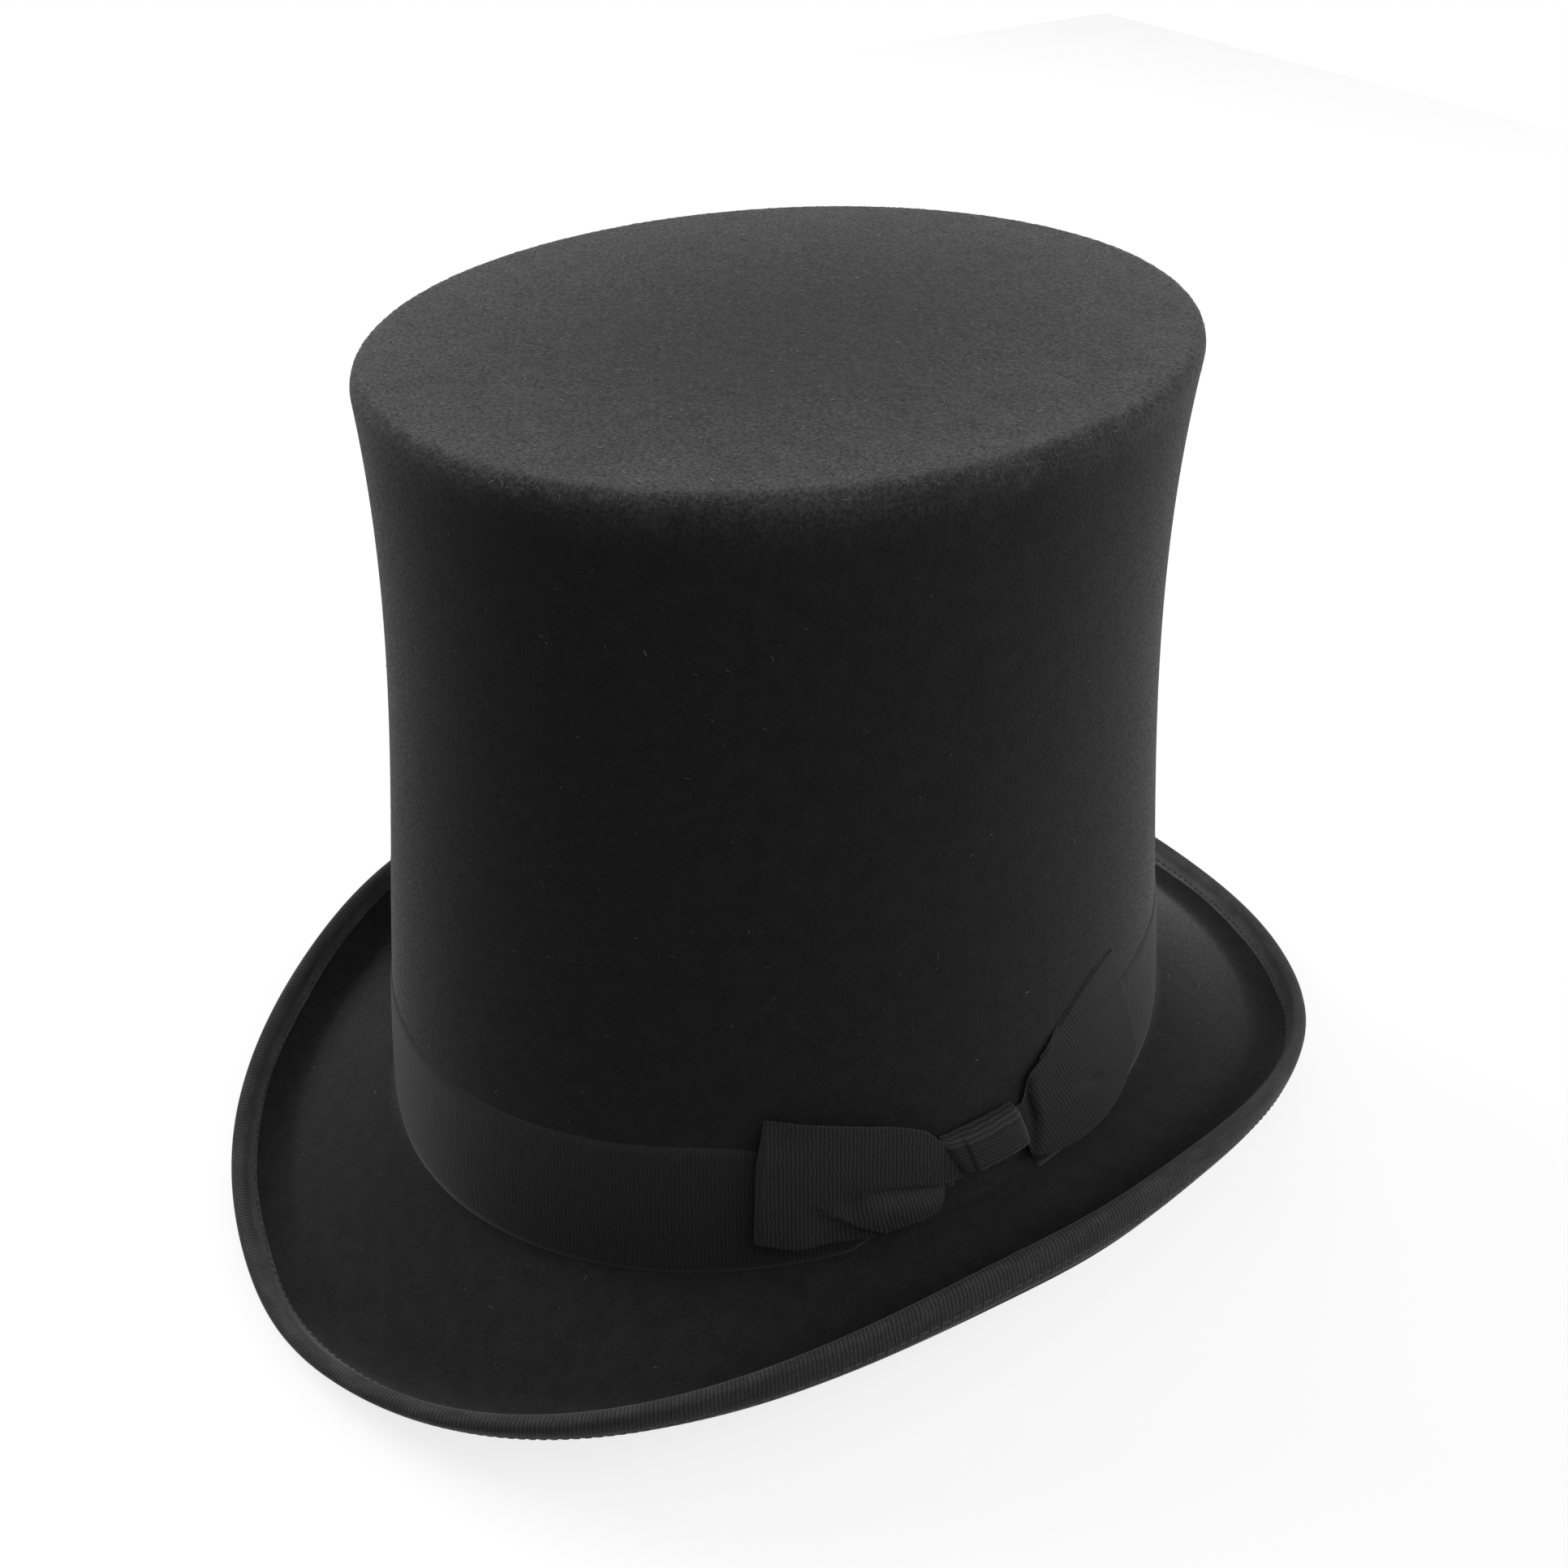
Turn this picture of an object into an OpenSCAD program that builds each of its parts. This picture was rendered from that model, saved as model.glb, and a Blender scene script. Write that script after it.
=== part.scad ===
// Top hat of blocked wool felt, with a curled and dipping brim, a ribbon binding,
// a ribbon band with a flat bow on the wearer's left, a sweatband and a satin lining.
// Millimetres. Z is up, the front of the hat faces -Y and the bow lies on the +X side.
// The hat stands on the lowest stretches of its brim, at the front and the back, at z = 0.

/* [Head opening] */
// Length of the opening inside the sweatband, front to back
head_l = 199.5; // [185:0.5:215]
// Width of the opening inside the sweatband
head_w = 160.5; // [150:0.5:175]

/* [Crown] */
// Height of the crown above the brim at the sides
crown_h = 182; // [120:0.5:210]
// Length of the flat tip, before its edge is rounded
tip_l = 179; // [165:0.5:200]
// Width of the flat tip, before its edge is rounded
tip_w = 152; // [138:0.5:166]
// Inward lean of the side where it leaves the brim, in degrees
side_lean = 5.5; // [0:0.1:8]
// Outward flare of the side where it reaches the tip, in degrees
tip_flare = 5; // [0:0.1:9]
// Radius of the rounded edge of the tip
tip_edge_r = 4; // [4:0.5:12]
// Thickness of the felt
felt_t = 2.4; // [1.5:0.1:4]

/* [Brim] */
// Width of the brim at the front and back, measured along the felt
brim_end_w = 51; // [40:0.5:70]
// Width of the brim at the sides, measured along the felt
brim_side_w = 36.5; // [32:0.5:60]
// Downward slope of the brim at the front and back, in degrees
end_droop = 36; // [10:1:42]
// Downward slope of the brim at the sides, in degrees
side_droop = 7; // [0:1:20]
// Angle that the rim curls up to at the front and back, in degrees
end_curl = 72; // [40:1:100]
// Angle that the rim curls up to at the sides, in degrees
side_curl = 131; // [80:1:140]
// Radius of the curl, at the middle of the felt
curl_r = 9; // [7:0.5:10]
// How far the line between crown and brim dips at the front and back
break_dip = 3; // [0:0.5:8]

/* [Ribbons] */
// Width of the ribbon of the band and the bow
ribbon_w = 36; // [28:1:42]
// Thickness of the ribbons
ribbon_t = 0.5; // [0.4:0.1:1]
// Width of the binding on the upper face of the rim
bind_upper_w = 6; // [4:0.5:8]
// Width of the binding on the lower face of the rim
bind_lower_w = 7.5; // [6:0.5:10]
// How far the band's upper edge is drawn down behind the knot of the bow
band_dip = 12; // [0:0.5:14]

/* [Bow] */
// Distance of the knot in front of the middle of the side
knot_forward = 2.5; // [0:0.5:15]
// Length of the knot along the band
knot_l = 18; // [12:0.5:24]
// Height of the knot
knot_h = 13; // [9:0.5:16]
// Height of the knot's lower edge above the lower edge of the band
knot_rise = 16.5; // [8:0.5:18]
// Forward lean of the knot's upper edge, in degrees
knot_lean = 22; // [0:1:30]
// Thickness of the gathered ribbon that the knot holds
gather_t = 3.4; // [2.5:0.1:5]
// Length over which a loop's lower edge falls from the knot to its full depth
gather_low_l = 9; // [6:1:20]
// Length over which a loop's upper edge rises from the knot to its full height
gather_top_l = 32; // [10:1:36]
// Length of the front loop from the middle of the knot
front_loop_l = 53; // [40:1:60]
// Length of the rear loop from the middle of the knot
rear_loop_l = 52; // [40:1:60]
// Height of the front loop's lower edge above that of the band, if it ran on to the knot's middle
front_loop_rise = 5.5; // [0:0.5:14]
// Height of the rear loop's lower edge above that of the band, if it ran on to the knot's middle
rear_loop_rise = 2.5; // [0:0.5:14]
// Upward tilt of the front loop away from the knot, in degrees
front_loop_tilt = 5.5; // [0:0.5:15]
// Upward tilt of the rear loop away from the knot, in degrees
rear_loop_tilt = 10; // [0:0.5:15]
// Radius of the fold at the end of the front loop
front_fold_r = 2.2; // [1:0.1:3]
// Radius of the fold at the end of the rear loop
rear_fold_r = 1.2; // [1:0.1:3]

/* [Inside] */
// Width of the sweatband
sweatband_w = 38; // [28:1:45]
// Thickness of the sweatband
sweatband_t = 1; // [0.6:0.1:1.5]
// Diameter of the reed in the lower edge of the sweatband
reed_d = 1.8; // [1.4:0.1:2.4]
// Thickness of the satin lining
lining_t = 0.4; // [0.3:0.1:0.8]
// Length of the lining that is tucked behind the sweatband
lining_tuck = 10; // [5:1:20]
// Length of the small bow over the seam of the sweatband
seam_bow_l = 24; // [16:1:32]
// Height of the loops of that small bow
seam_bow_h = 8; // [5:0.5:12]
// Height of that small bow at its knot
seam_knot_h = 3; // [2:0.5:5]

/* [Fit] */
// Clearance between pieces that lie on one another
fit_gap = 0.3; // [0.25:0.05:0.4]

/* [Hidden] */

// Divisions round the oval, along the crown's side and along the two parts of the curl
ROUND = 64;
SIDE = 7;
CURL_DOWN = 2;
CURL_UP = 7;
TIP_EDGE = 4;
ANGLES = [for (i = [0 : ROUND - 1]) 360 * i / ROUND];

// Layers inside the felt, each measured from the outer face of the crown
lining_in = felt_t + fit_gap;
sweatband_in = lining_in + lining_t + fit_gap;
head_in = sweatband_in + sweatband_t;

// Oval where the crown leaves the brim, and how much it narrows to the tip
half_w = head_w / 2 + head_in;
half_l = head_l / 2 + head_in;
narrow_w = half_w - tip_w / 2;
narrow_l = half_l - tip_l / 2;

// Radius of the felt's inner face inside the edge of the tip, and of the lining there
tip_inner_r = max(tip_edge_r - felt_t, fit_gap + lining_t);
lining_r = tip_inner_r - fit_gap;

// Layers outside the felt, each measured from the outer face of the crown
band_out = fit_gap + ribbon_t;
knot_back = band_out + fit_gap + ribbon_t / 2;
loop_inner = knot_back + ribbon_t + fit_gap;
loop_outer = loop_inner + gather_t - ribbon_t;
knot_front = loop_outer + ribbon_t + fit_gap;

// Distance from the knot's middle to its farthest corner along the band
knot_reach = knot_l / 2 + tan(knot_lean) * knot_h / 2;

// Blends a value for the front and back with one for the sides, round the oval
function around(a, at_end, at_side) = at_end + (at_side - at_end) * pow(cos(a), 2);
function droop(a) = around(a, end_droop, side_droop);
function curl(a) = around(a, end_curl, side_curl);
function brim_w(a) = around(a, brim_end_w, brim_side_w);
function break_h(a) = around(a, -break_dip, 0);
function arc_length(radius, degrees) = radius * degrees * PI / 180;
function arc_degrees(radius, length) = length / radius * 180 / PI;

// Straight run of the brim between the crown and the start of the curl
function brim_run(a) = brim_w(a) - arc_length(curl_r, curl(a) + droop(a));

// Inner and outer faces of the binding, each measured from the middle of the felt
bind_near = felt_t / 2 + fit_gap;
bind_far = bind_near + ribbon_t;

// Depth of the lowest line of the felt or its binding under the foot of the crown's side
function curl_centre_h(a) = break_h(a) - brim_run(a) * sin(droop(a)) + curl_r * cos(droop(a));
function bind_edge_tilt(a) = max(curl(a) - arc_degrees(curl_r, bind_lower_w), 0);
function brim_drop(a) =
    max(curl_r + felt_t / 2, (curl_r + bind_far) * cos(bind_edge_tilt(a))) - curl_centre_h(a);
brim_z = max(brim_drop(0), brim_drop(90));

// How far the crown's side stands in from the oval at a height, for a given narrowing to the tip
function side_inset(h, narrow) = let (t = max(h, 0) / crown_h)
    t * pow(1 - t, 2) * crown_h * tan(side_lean)
    + t * t * (3 - 2 * t) * narrow
    + t * t * (1 - t) * crown_h * tan(tip_flare);

// Point at an angle and height, a distance in from the outer face of the crown
function crown_point(a, h, inset) = [
    (half_w - side_inset(h, narrow_w) - inset) * cos(a),
    (half_l - side_inset(h, narrow_l) - inset) * sin(a),
    brim_z + h];

// Point at an angle, a distance out from the oval and a height
function oval_point(a, out, h) =
    let (normal = [cos(a) / half_w, sin(a) / half_l])
    let (unit = normal / norm(normal))
    [half_w * cos(a) + unit.x * out, half_l * sin(a) + unit.y * out, brim_z + h];

// Point of the brim: the felt's tilt there, or a length along it, and the offset from its middle
function brim_point(a, along, offset) =
    let (run = brim_run(a))
    let (flat = min(along, run))
    let (tilt = arc_degrees(curl_r, max(along - run, 0)) - droop(a))
    let (out = flat * cos(droop(a)) + curl_r * (sin(tilt) + sin(droop(a))))
    let (up = -flat * sin(droop(a)) + curl_r * (cos(droop(a)) - cos(tilt)))
    oval_point(a, out - offset * sin(tilt), break_h(a) + up + offset * cos(tilt));
function brim_at_tilt(a, tilt, offset) =
    brim_point(a, brim_run(a) + arc_length(curl_r, tilt + droop(a)), offset);
function curl_tilt(a, step) = step <= CURL_DOWN
    ? -droop(a) * (1 - step / CURL_DOWN)
    : curl(a) * (step - CURL_DOWN) / CURL_UP;

// Heights of the brim's upper face at the crown, of the inner corner and of the band's lower edge
function brim_top_h(a) = break_h(a) + felt_t / 2 / cos(droop(a));
function inner_corner_h(a) = break_h(a) + felt_t / 2;
function band_low_h(a) = brim_top_h(a) + fit_gap;
function reed_h(a) = inner_corner_h(a) + reed_d / 2;
function sweatband_low_h(a) = reed_h(a) + reed_d / 2 + fit_gap;

// Point beside the crown at the bow, given by the distance along the band behind the side's middle
function bow_point(along, out, h) = crown_point(arc_degrees(half_l, along), h, -out);

// Solid over rings of points, joined in a circle or closed with a flat face at each end
module skin(rings, circle = false) {
    n = len(rings[0]);
    m = len(rings);
    sides = [
        for (j = [0 : m - (circle ? 1 : 2)], i = [0 : n - 1])
            let (next = (i + 1) % n, up = (j + 1) % m)
            each [[j * n + i, up * n + next, j * n + next], [j * n + i, up * n + i, up * n + next]]
    ];
    ends = circle ? [] : [[for (i = [0 : n - 1]) i], [for (i = [n - 1 : -1 : 0]) (m - 1) * n + i]];
    polyhedron([for (r = rings) each r], concat(sides, ends));
}

// Rings round the rounded edge of the tip, for a face of the given radius, from the side to the top
function tip_edge_rings(radius, turns) = [
    for (u = turns)
        let (h = crown_h - tip_edge_r + radius * sin(u))
        [for (a = ANGLES) crown_point(a, h, tip_edge_r - radius * cos(u))]
];

// Crown and brim, blocked from one hood of felt
module felt_body() {
    side_top = crown_h - tip_edge_r;
    turns = [for (k = [0 : TIP_EDGE]) 90 * k / TIP_EDGE];
    inner_turns = [0, 45, 90];
    curl_steps = CURL_DOWN + CURL_UP;
    outside = [
        for (k = [1 : SIDE])
            [for (a = ANGLES) crown_point(a, side_top * (1 - k / (SIDE + 1)), 0)]
    ];
    upper = [
        for (k = [0 : curl_steps])
            [for (a = ANGLES) brim_at_tilt(a, curl_tilt(a, k), felt_t / 2)]
    ];
    lower = [
        for (k = [curl_steps : -1 : 0])
            [for (a = ANGLES) brim_at_tilt(a, curl_tilt(a, k), -felt_t / 2)]
    ];
    inside = [
        for (k = [1 : SIDE])
            [for (a = ANGLES) crown_point(a, side_top * k / (SIDE + 1), felt_t)]
    ];
    color("#1d1d1f") skin(concat(
        [for (k = [TIP_EDGE : -1 : 0]) tip_edge_rings(tip_edge_r, turns)[k]],
        outside,
        [[for (a = ANGLES) crown_point(a, brim_top_h(a), 0)]],
        upper,
        lower,
        [[for (a = ANGLES) brim_point(a, 0, -felt_t / 2)]],
        [[for (a = ANGLES) crown_point(a, inner_corner_h(a), felt_t)]],
        inside,
        tip_edge_rings(tip_inner_r, inner_turns)
    ));
}

// Ribbon folded over the rim, with its cut edges on the two faces of the felt
module brim_binding() {
    over = fit_gap + ribbon_t;
    upper_steps = [0, 0.5, 1];
    lower_steps = [0, 1 / 3, 2 / 3, 1];
    // Each point of the folded section: length past the rim of the felt, and offset from its middle
    section = concat(
        [for (k = upper_steps) [-bind_upper_w * (1 - k), bind_far]],
        [[over, bind_near], [over, -bind_near]],
        [for (k = lower_steps) [-bind_lower_w * k, -bind_far]],
        [for (k = lower_steps) [-bind_lower_w * (1 - k), -bind_near]],
        [[fit_gap, -bind_near], [fit_gap, bind_near]],
        [for (k = upper_steps) [-bind_upper_w * k, bind_near]]
    );
    color("#141416") skin([
        for (p = section) [for (a = ANGLES) brim_point(a, brim_w(a) + p.x, p.y)]
    ], circle = true);
}

// Eases from 0 to 1
function ease(t) = let (u = min(max(t, 0), 1)) u * u * (3 - 2 * u);

// Height of the band at an angle, drawn down behind the knot
function band_h(a) =
    let (along = arc_length(half_l, a > 180 ? a - 360 : a))
    let (drawn = 1 - ease((abs(along + knot_forward) - knot_reach) / gather_low_l))
    ribbon_w - band_dip * drawn;

// Ribbon round the foot of the crown, drawn together behind the knot
module hat_band() {
    steps = [0, 0.5, 1];
    section = concat(
        [for (k = steps) [k, -fit_gap]],
        [for (k = steps) [1 - k, -band_out]]
    );
    color("#151517") skin([
        for (p = section) [for (a = ANGLES) crown_point(a, band_low_h(a) + p.x * band_h(a), p.y)]
    ], circle = true);
}

// Folded loop of the bow's ribbon, led out from the knot on its inner layer and back on its outer one
module bow_loop(direction, length, rise, tilt, fold_r) {
    open_steps = 6;
    fold_steps = 6;
    knot_low = band_low_h(0) + knot_rise + ribbon_t + fit_gap;
    knot_high = knot_low + knot_h - 2 * (ribbon_t + fit_gap);
    fold_at = length - fold_r;
    fold_mid = loop_inner + fold_r;
    // Distances from the knot's middle: through the knot, then out to the fold, closer by the knot
    reach = concat(
        [fit_gap],
        [for (k = [0 : open_steps]) knot_reach + (fold_at - knot_reach) * pow(k / open_steps, 1.5)]
    );
    // Stations of the ribbon: distance from the knot's middle, distance out and turn of the ribbon
    path = concat(
        [for (d = reach) [d, loop_inner, 0]],
        [for (k = [1 : fold_steps - 1])
            let (u = 180 * k / fold_steps)
            [fold_at + fold_r * sin(u), fold_mid - fold_r * cos(u), u]],
        [for (k = [len(reach) - 1 : -1 : 0])
            let (spread = ease((reach[k] - knot_reach) / (fold_at - knot_reach)))
            [reach[k], loop_outer + (fold_mid + fold_r - loop_outer) * spread, 180]]
    );
    rings = [
        for (p = path)
            let (fallen = ease((p.x - knot_reach) / gather_low_l))
            let (risen = ease((p.x - knot_reach) / gather_top_l))
            let (loop_low = band_low_h(0) + rise + tan(tilt) * p.x)
            let (low = knot_low + (loop_low - knot_low) * fallen)
            let (high = knot_high + (loop_low + ribbon_w * cos(tilt) - knot_high) * risen)
            [for (c = [[-1, low], [1, low], [1, high], [-1, high]])
                let (lean = tan(tilt) * risen * (c[1] - (low + high) / 2))
                bow_point(
                    direction * (p.x - lean - c[0] * ribbon_t / 2 * sin(p[2])) - knot_forward,
                    p.y + c[0] * ribbon_t / 2 * cos(p[2]),
                    c[1])]
    ];
    skin(direction > 0 ? rings : [for (r = rings) [r[3], r[2], r[1], r[0]]]);
}

module bow_front_loop() {
    color("#19191b") bow_loop(-1, front_loop_l, front_loop_rise, front_loop_tilt, front_fold_r);
}

module bow_rear_loop() {
    color("#19191b") bow_loop(1, rear_loop_l, rear_loop_rise, rear_loop_tilt, rear_fold_r);
}

// Ribbon wrapped round the gathered middle of the bow, leaning forward at its top
module bow_knot() {
    corner_turns = [0, 45, 90];
    corner_r = ribbon_t + fit_gap;
    low = band_low_h(0) + knot_rise;
    high = low + knot_h;
    back = knot_back - ribbon_t / 2;
    front = knot_front + ribbon_t / 2;
    // Corners of the wrap: middle of the rounding, and the turn that it starts from
    corners = [
        [front - corner_r, high - corner_r, 0],
        [back + corner_r, high - corner_r, 90],
        [back + corner_r, low + corner_r, 180],
        [front - corner_r, low + corner_r, 270]
    ];
    color("#1b1b1d") skin([
        for (c = corners, u = corner_turns)
            let (turn = c[2] + u)
            [for (p = [[-1, 0], [0, 0], [1, 0], [1, 1], [0, 1], [-1, 1]])
                let (r = corner_r - p.y * ribbon_t)
                let (h = c.y + r * sin(turn))
                let (lean = tan(knot_lean) * (h - (low + high) / 2))
                bow_point(p.x * knot_l / 2 - knot_forward - lean, c.x + r * cos(turn), h)]
    ], circle = true);
}

// Band that rests on the head, inside the foot of the crown
module sweatband() {
    steps = [0, 0.5, 1];
    section = concat(
        [for (k = steps) [k, head_in]],
        [for (k = steps) [1 - k, sweatband_in]]
    );
    color("#232021") skin([
        for (p = section) [for (a = ANGLES) crown_point(a, sweatband_low_h(a) + p.x * sweatband_w, p.y)]
    ], circle = true);
}

// Round cord in the lower edge of the sweatband
module sweatband_reed() {
    sides = 6;
    middle = felt_t + fit_gap + reed_d / 2;
    color("#2a2728") skin([
        for (k = [0 : sides - 1])
            let (u = 360 * k / sides)
            [for (a = ANGLES) crown_point(a, reed_h(a) + reed_d / 2 * sin(u), middle - reed_d / 2 * cos(u))]
    ], circle = true);
}

// Small flat bow over the seam at the back of the sweatband
module sweatband_bow() {
    steps = 4;
    middle = sweatband_low_h(90) + sweatband_w / 2;
    outer = head_in + fit_gap;
    color("#1b1b1d") skin([
        for (k = [-steps : steps])
            let (half = (seam_knot_h + (seam_bow_h - seam_knot_h) * abs(k) / steps) / 2)
            let (a = 90 + arc_degrees(half_w, seam_bow_l / 2 * k / steps))
            [for (p = [[-1, 0], [-1, 1], [1, 1], [1, 0]])
                crown_point(a, middle + p.x * half, outer + p.y * ribbon_t)]
    ]);
}

// Satin wall of the lining, from behind the sweatband up to the seam round the tip
module lining_side() {
    low = sweatband_w - lining_tuck;
    high = crown_h - tip_edge_r;
    turns = [0, 45, 90];
    wall = function (inset) [
        for (k = [0 : SIDE - 1])
            [for (a = ANGLES)
                let (foot = sweatband_low_h(a) + low)
                crown_point(a, foot + (high - foot) * k / SIDE, inset)]
    ];
    inner = tip_edge_rings(lining_r - lining_t, turns);
    outer = tip_edge_rings(lining_r, turns);
    face = concat(wall(lining_in + lining_t), inner);
    back = concat(wall(lining_in), outer);
    color("#26262b") skin(concat(face, [for (k = [len(back) - 1 : -1 : 0]) back[k]]), circle = true);
}

// Satin oval under the tip
module lining_tip() {
    top = crown_h - tip_edge_r + lining_r;
    color("#26262b") skin([
        for (h = [top, top - lining_t]) [for (a = ANGLES) crown_point(a, h, tip_edge_r + fit_gap)]
    ]);
}

felt_body();
brim_binding();
hat_band();
bow_front_loop();
bow_rear_loop();
bow_knot();
sweatband();
sweatband_reed();
sweatband_bow();
lining_side();
lining_tip();
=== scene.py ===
"""Top hat of black wool felt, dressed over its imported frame.

Shapes are worked out in millimetres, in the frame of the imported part: Z is up, the front of the hat
faces -Y and the bow lies on the +X side. Meshes are laid in metres.
"""

import logging
from dataclasses import dataclass
from enum import Enum
from typing import Any, Sequence

import bpy
import numpy as np
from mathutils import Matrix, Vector


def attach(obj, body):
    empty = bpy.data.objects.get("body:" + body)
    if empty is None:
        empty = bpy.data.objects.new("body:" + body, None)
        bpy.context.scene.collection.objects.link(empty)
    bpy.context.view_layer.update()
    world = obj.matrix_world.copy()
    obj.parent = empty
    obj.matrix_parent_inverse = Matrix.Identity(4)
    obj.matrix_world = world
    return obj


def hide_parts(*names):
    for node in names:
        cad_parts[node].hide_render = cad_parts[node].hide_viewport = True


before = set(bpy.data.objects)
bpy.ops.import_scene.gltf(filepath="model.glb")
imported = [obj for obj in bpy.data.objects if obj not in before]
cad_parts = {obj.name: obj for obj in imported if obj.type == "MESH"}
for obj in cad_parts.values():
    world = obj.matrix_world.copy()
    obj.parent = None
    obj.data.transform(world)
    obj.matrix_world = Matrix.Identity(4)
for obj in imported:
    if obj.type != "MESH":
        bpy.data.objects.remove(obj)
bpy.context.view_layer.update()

Array = np.ndarray
Span = tuple[float, float]
Triple = tuple[float, float, float]
Knots = Sequence[Span]
Bells = Sequence[Triple]
Waves = Sequence[Triple]
Links = dict[str | int, Any]
Tree = bpy.types.NodeTree
Material = bpy.types.Material
Piece = bpy.types.Object

MM = 0.001
TURN = 2 * np.pi
QUARTER = np.pi / 2
# Small step of an angle, from which a slope is taken.
NUDGE = 0.001
# Rings of a stitch along its length, and how full it is at each of them.
STITCH_RINGS = (-0.5, -0.36, 0.36, 0.5)
STITCH_FULL = (0.3, 1.0, 1.0, 0.3)
STITCH_SIDES = 6
# Points of a fibre along its length: a tip, two rings of three and a tip.
FIBRE_RINGS = (-0.5, -0.22, 0.22, 0.5)
FIBRE_SIDES = 3
log = logging.getLogger("top_hat")


class Held(Enum):
    """How a piece of cloth or ribbon is held on the hat."""

    STRETCHED = "stretched"
    FOLDED = "folded"
    GATHERED = "gathered"


def linear(colour: str) -> tuple[float, float, float, float]:
    """Turns an sRGB hex colour to linear, by that standard's curve: a straight foot and a power above it.

    Args:
        colour: six hex digits after a hash sign.

    Returns:
        Red, green, blue and a full alpha.
    """
    parts = np.array([int(colour[i:i + 2], 16) for i in (1, 3, 5)]) / 255
    flat = np.where(parts <= 0.04045, parts / 12.92, ((parts + 0.055) / 1.055) ** 2.4)
    return (*flat.tolist(), 1.0)


def ease(t: Array) -> Array:
    """Rises smoothly from 0 to 1 as t does: 3t² - 2t³, held flat beyond."""
    u = np.clip(t, 0, 1)
    return u * u * (3 - 2 * u)


def ramp(x: Array, span: Span) -> Array:
    """Rises smoothly from 0 at the start of a span to 1 at its end."""
    return ease((x - span[0]) / (span[1] - span[0]))


def between(t: Array, span: Span) -> Array:
    """Goes straight from the first value of a span to the second as t goes from 0 to 1."""
    return span[0] + (span[1] - span[0]) * t


def waves(a: Array, parts: Waves) -> Array:
    """Adds sines round the hat, each given by its number of waves, where it starts and its height."""
    return sum(high * np.sin(count * a + start) for count, start, high in parts)


def angles(count: int) -> Array:
    """Spaces angles evenly once round."""
    return np.arange(count) * TURN / count


def run_along(points: Array) -> Array:
    """Measures the length along a line of points to each of them."""
    return np.concatenate([[0], np.cumsum(np.linalg.norm(np.diff(points, axis=0), axis=1))])


def through(x: Array, knots: Knots) -> Array:
    """Draws a smooth line through points: on each stretch a cubic with the slopes of the chords at its ends.

    Args:
        x: where the line is wanted.
        knots: points of the line as (x, y), with x rising.

    Returns:
        The line's y at each x, held flat beyond its ends.
    """
    kx, ky = np.array(knots, float).T
    slope = np.gradient(ky, kx)
    i = np.clip(np.searchsorted(kx, x) - 1, 0, len(kx) - 2)
    step = kx[i + 1] - kx[i]
    t = np.clip((x - kx[i]) / step, 0, 1)
    rise = ky[i] + (ky[i + 1] - ky[i]) * t * t * (3 - 2 * t)
    return rise + step * t * (1 - t) * (slope[i] * (1 - t) - slope[i + 1] * t)


def rounded(distance: Array, radius: float) -> Array:
    """Quarter-circle edge: 0 at the edge, 1 once the distance in from it is the radius."""
    return np.sqrt(1 - (1 - np.clip(distance / radius, 0, 1)) ** 2)


def unit(v: Array) -> Array:
    """Scales vectors to length 1."""
    return v / np.maximum(np.linalg.norm(v, axis=-1, keepdims=True), 1e-9)


def put(name: str, points: Array, faces: Sequence[Array], cloth: Sequence[Array],
        painted_light: Array | None = None) -> Piece:
    """Puts points and faces into a smooth mesh object whose faces look outwards.

    The signed volume of the closed mesh tells which way its faces look: the sum over the faces' triangles
    of corner · (corner × corner) / 6. Where it is negative, every face is turned over.

    Args:
        name: name of the piece.
        points: points in millimetres, one a row.
        faces: arrays of faces, each with its own number of corners, as indices of points.
        cloth: for each array of faces, the cloth coordinates of its corners in millimetres.
        painted_light: painted light of each point, how much paler it is painted, from 0 to 1.

    Returns:
        The new object, at the origin.
    """
    fans = [f[:, [0, k, k + 1]] for f in faces for k in range(1, f.shape[1] - 1)]
    a, b, c = (points[np.concatenate(fans)[:, k]] for k in range(3))
    if np.einsum("ij,ij->", a, np.cross(b, c)) < 0:
        faces = [f[:, ::-1] for f in faces]
        cloth = [w[:, ::-1] for w in cloth]
    sides = np.concatenate([np.full(len(f), f.shape[1]) for f in faces])
    mesh = bpy.data.meshes.new(name)
    mesh.vertices.add(len(points))
    mesh.vertices.foreach_set("co", (points * MM).astype(np.float32).ravel())
    mesh.loops.add(int(sides.sum()))
    mesh.loops.foreach_set("vertex_index", np.concatenate([f.ravel() for f in faces]).astype(np.int32))
    mesh.polygons.add(len(sides))
    mesh.polygons.foreach_set("loop_start", (np.cumsum(sides) - sides).astype(np.int32))
    mesh.update(calc_edges=True)
    mesh.uv_layers.new(name="cloth").data.foreach_set(
        "uv", np.concatenate([w.reshape(-1, 2) for w in cloth]).astype(np.float32).ravel())
    mesh.polygons.foreach_set("use_smooth", np.ones(len(sides), bool))
    if painted_light is not None:
        mesh.attributes.new("painted_light", "FLOAT", "POINT").data.foreach_set("value", painted_light.astype(np.float32))
    mesh.validate()
    piece = bpy.data.objects.new(name, mesh)
    bpy.context.scene.collection.objects.link(piece)
    return piece


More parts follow.
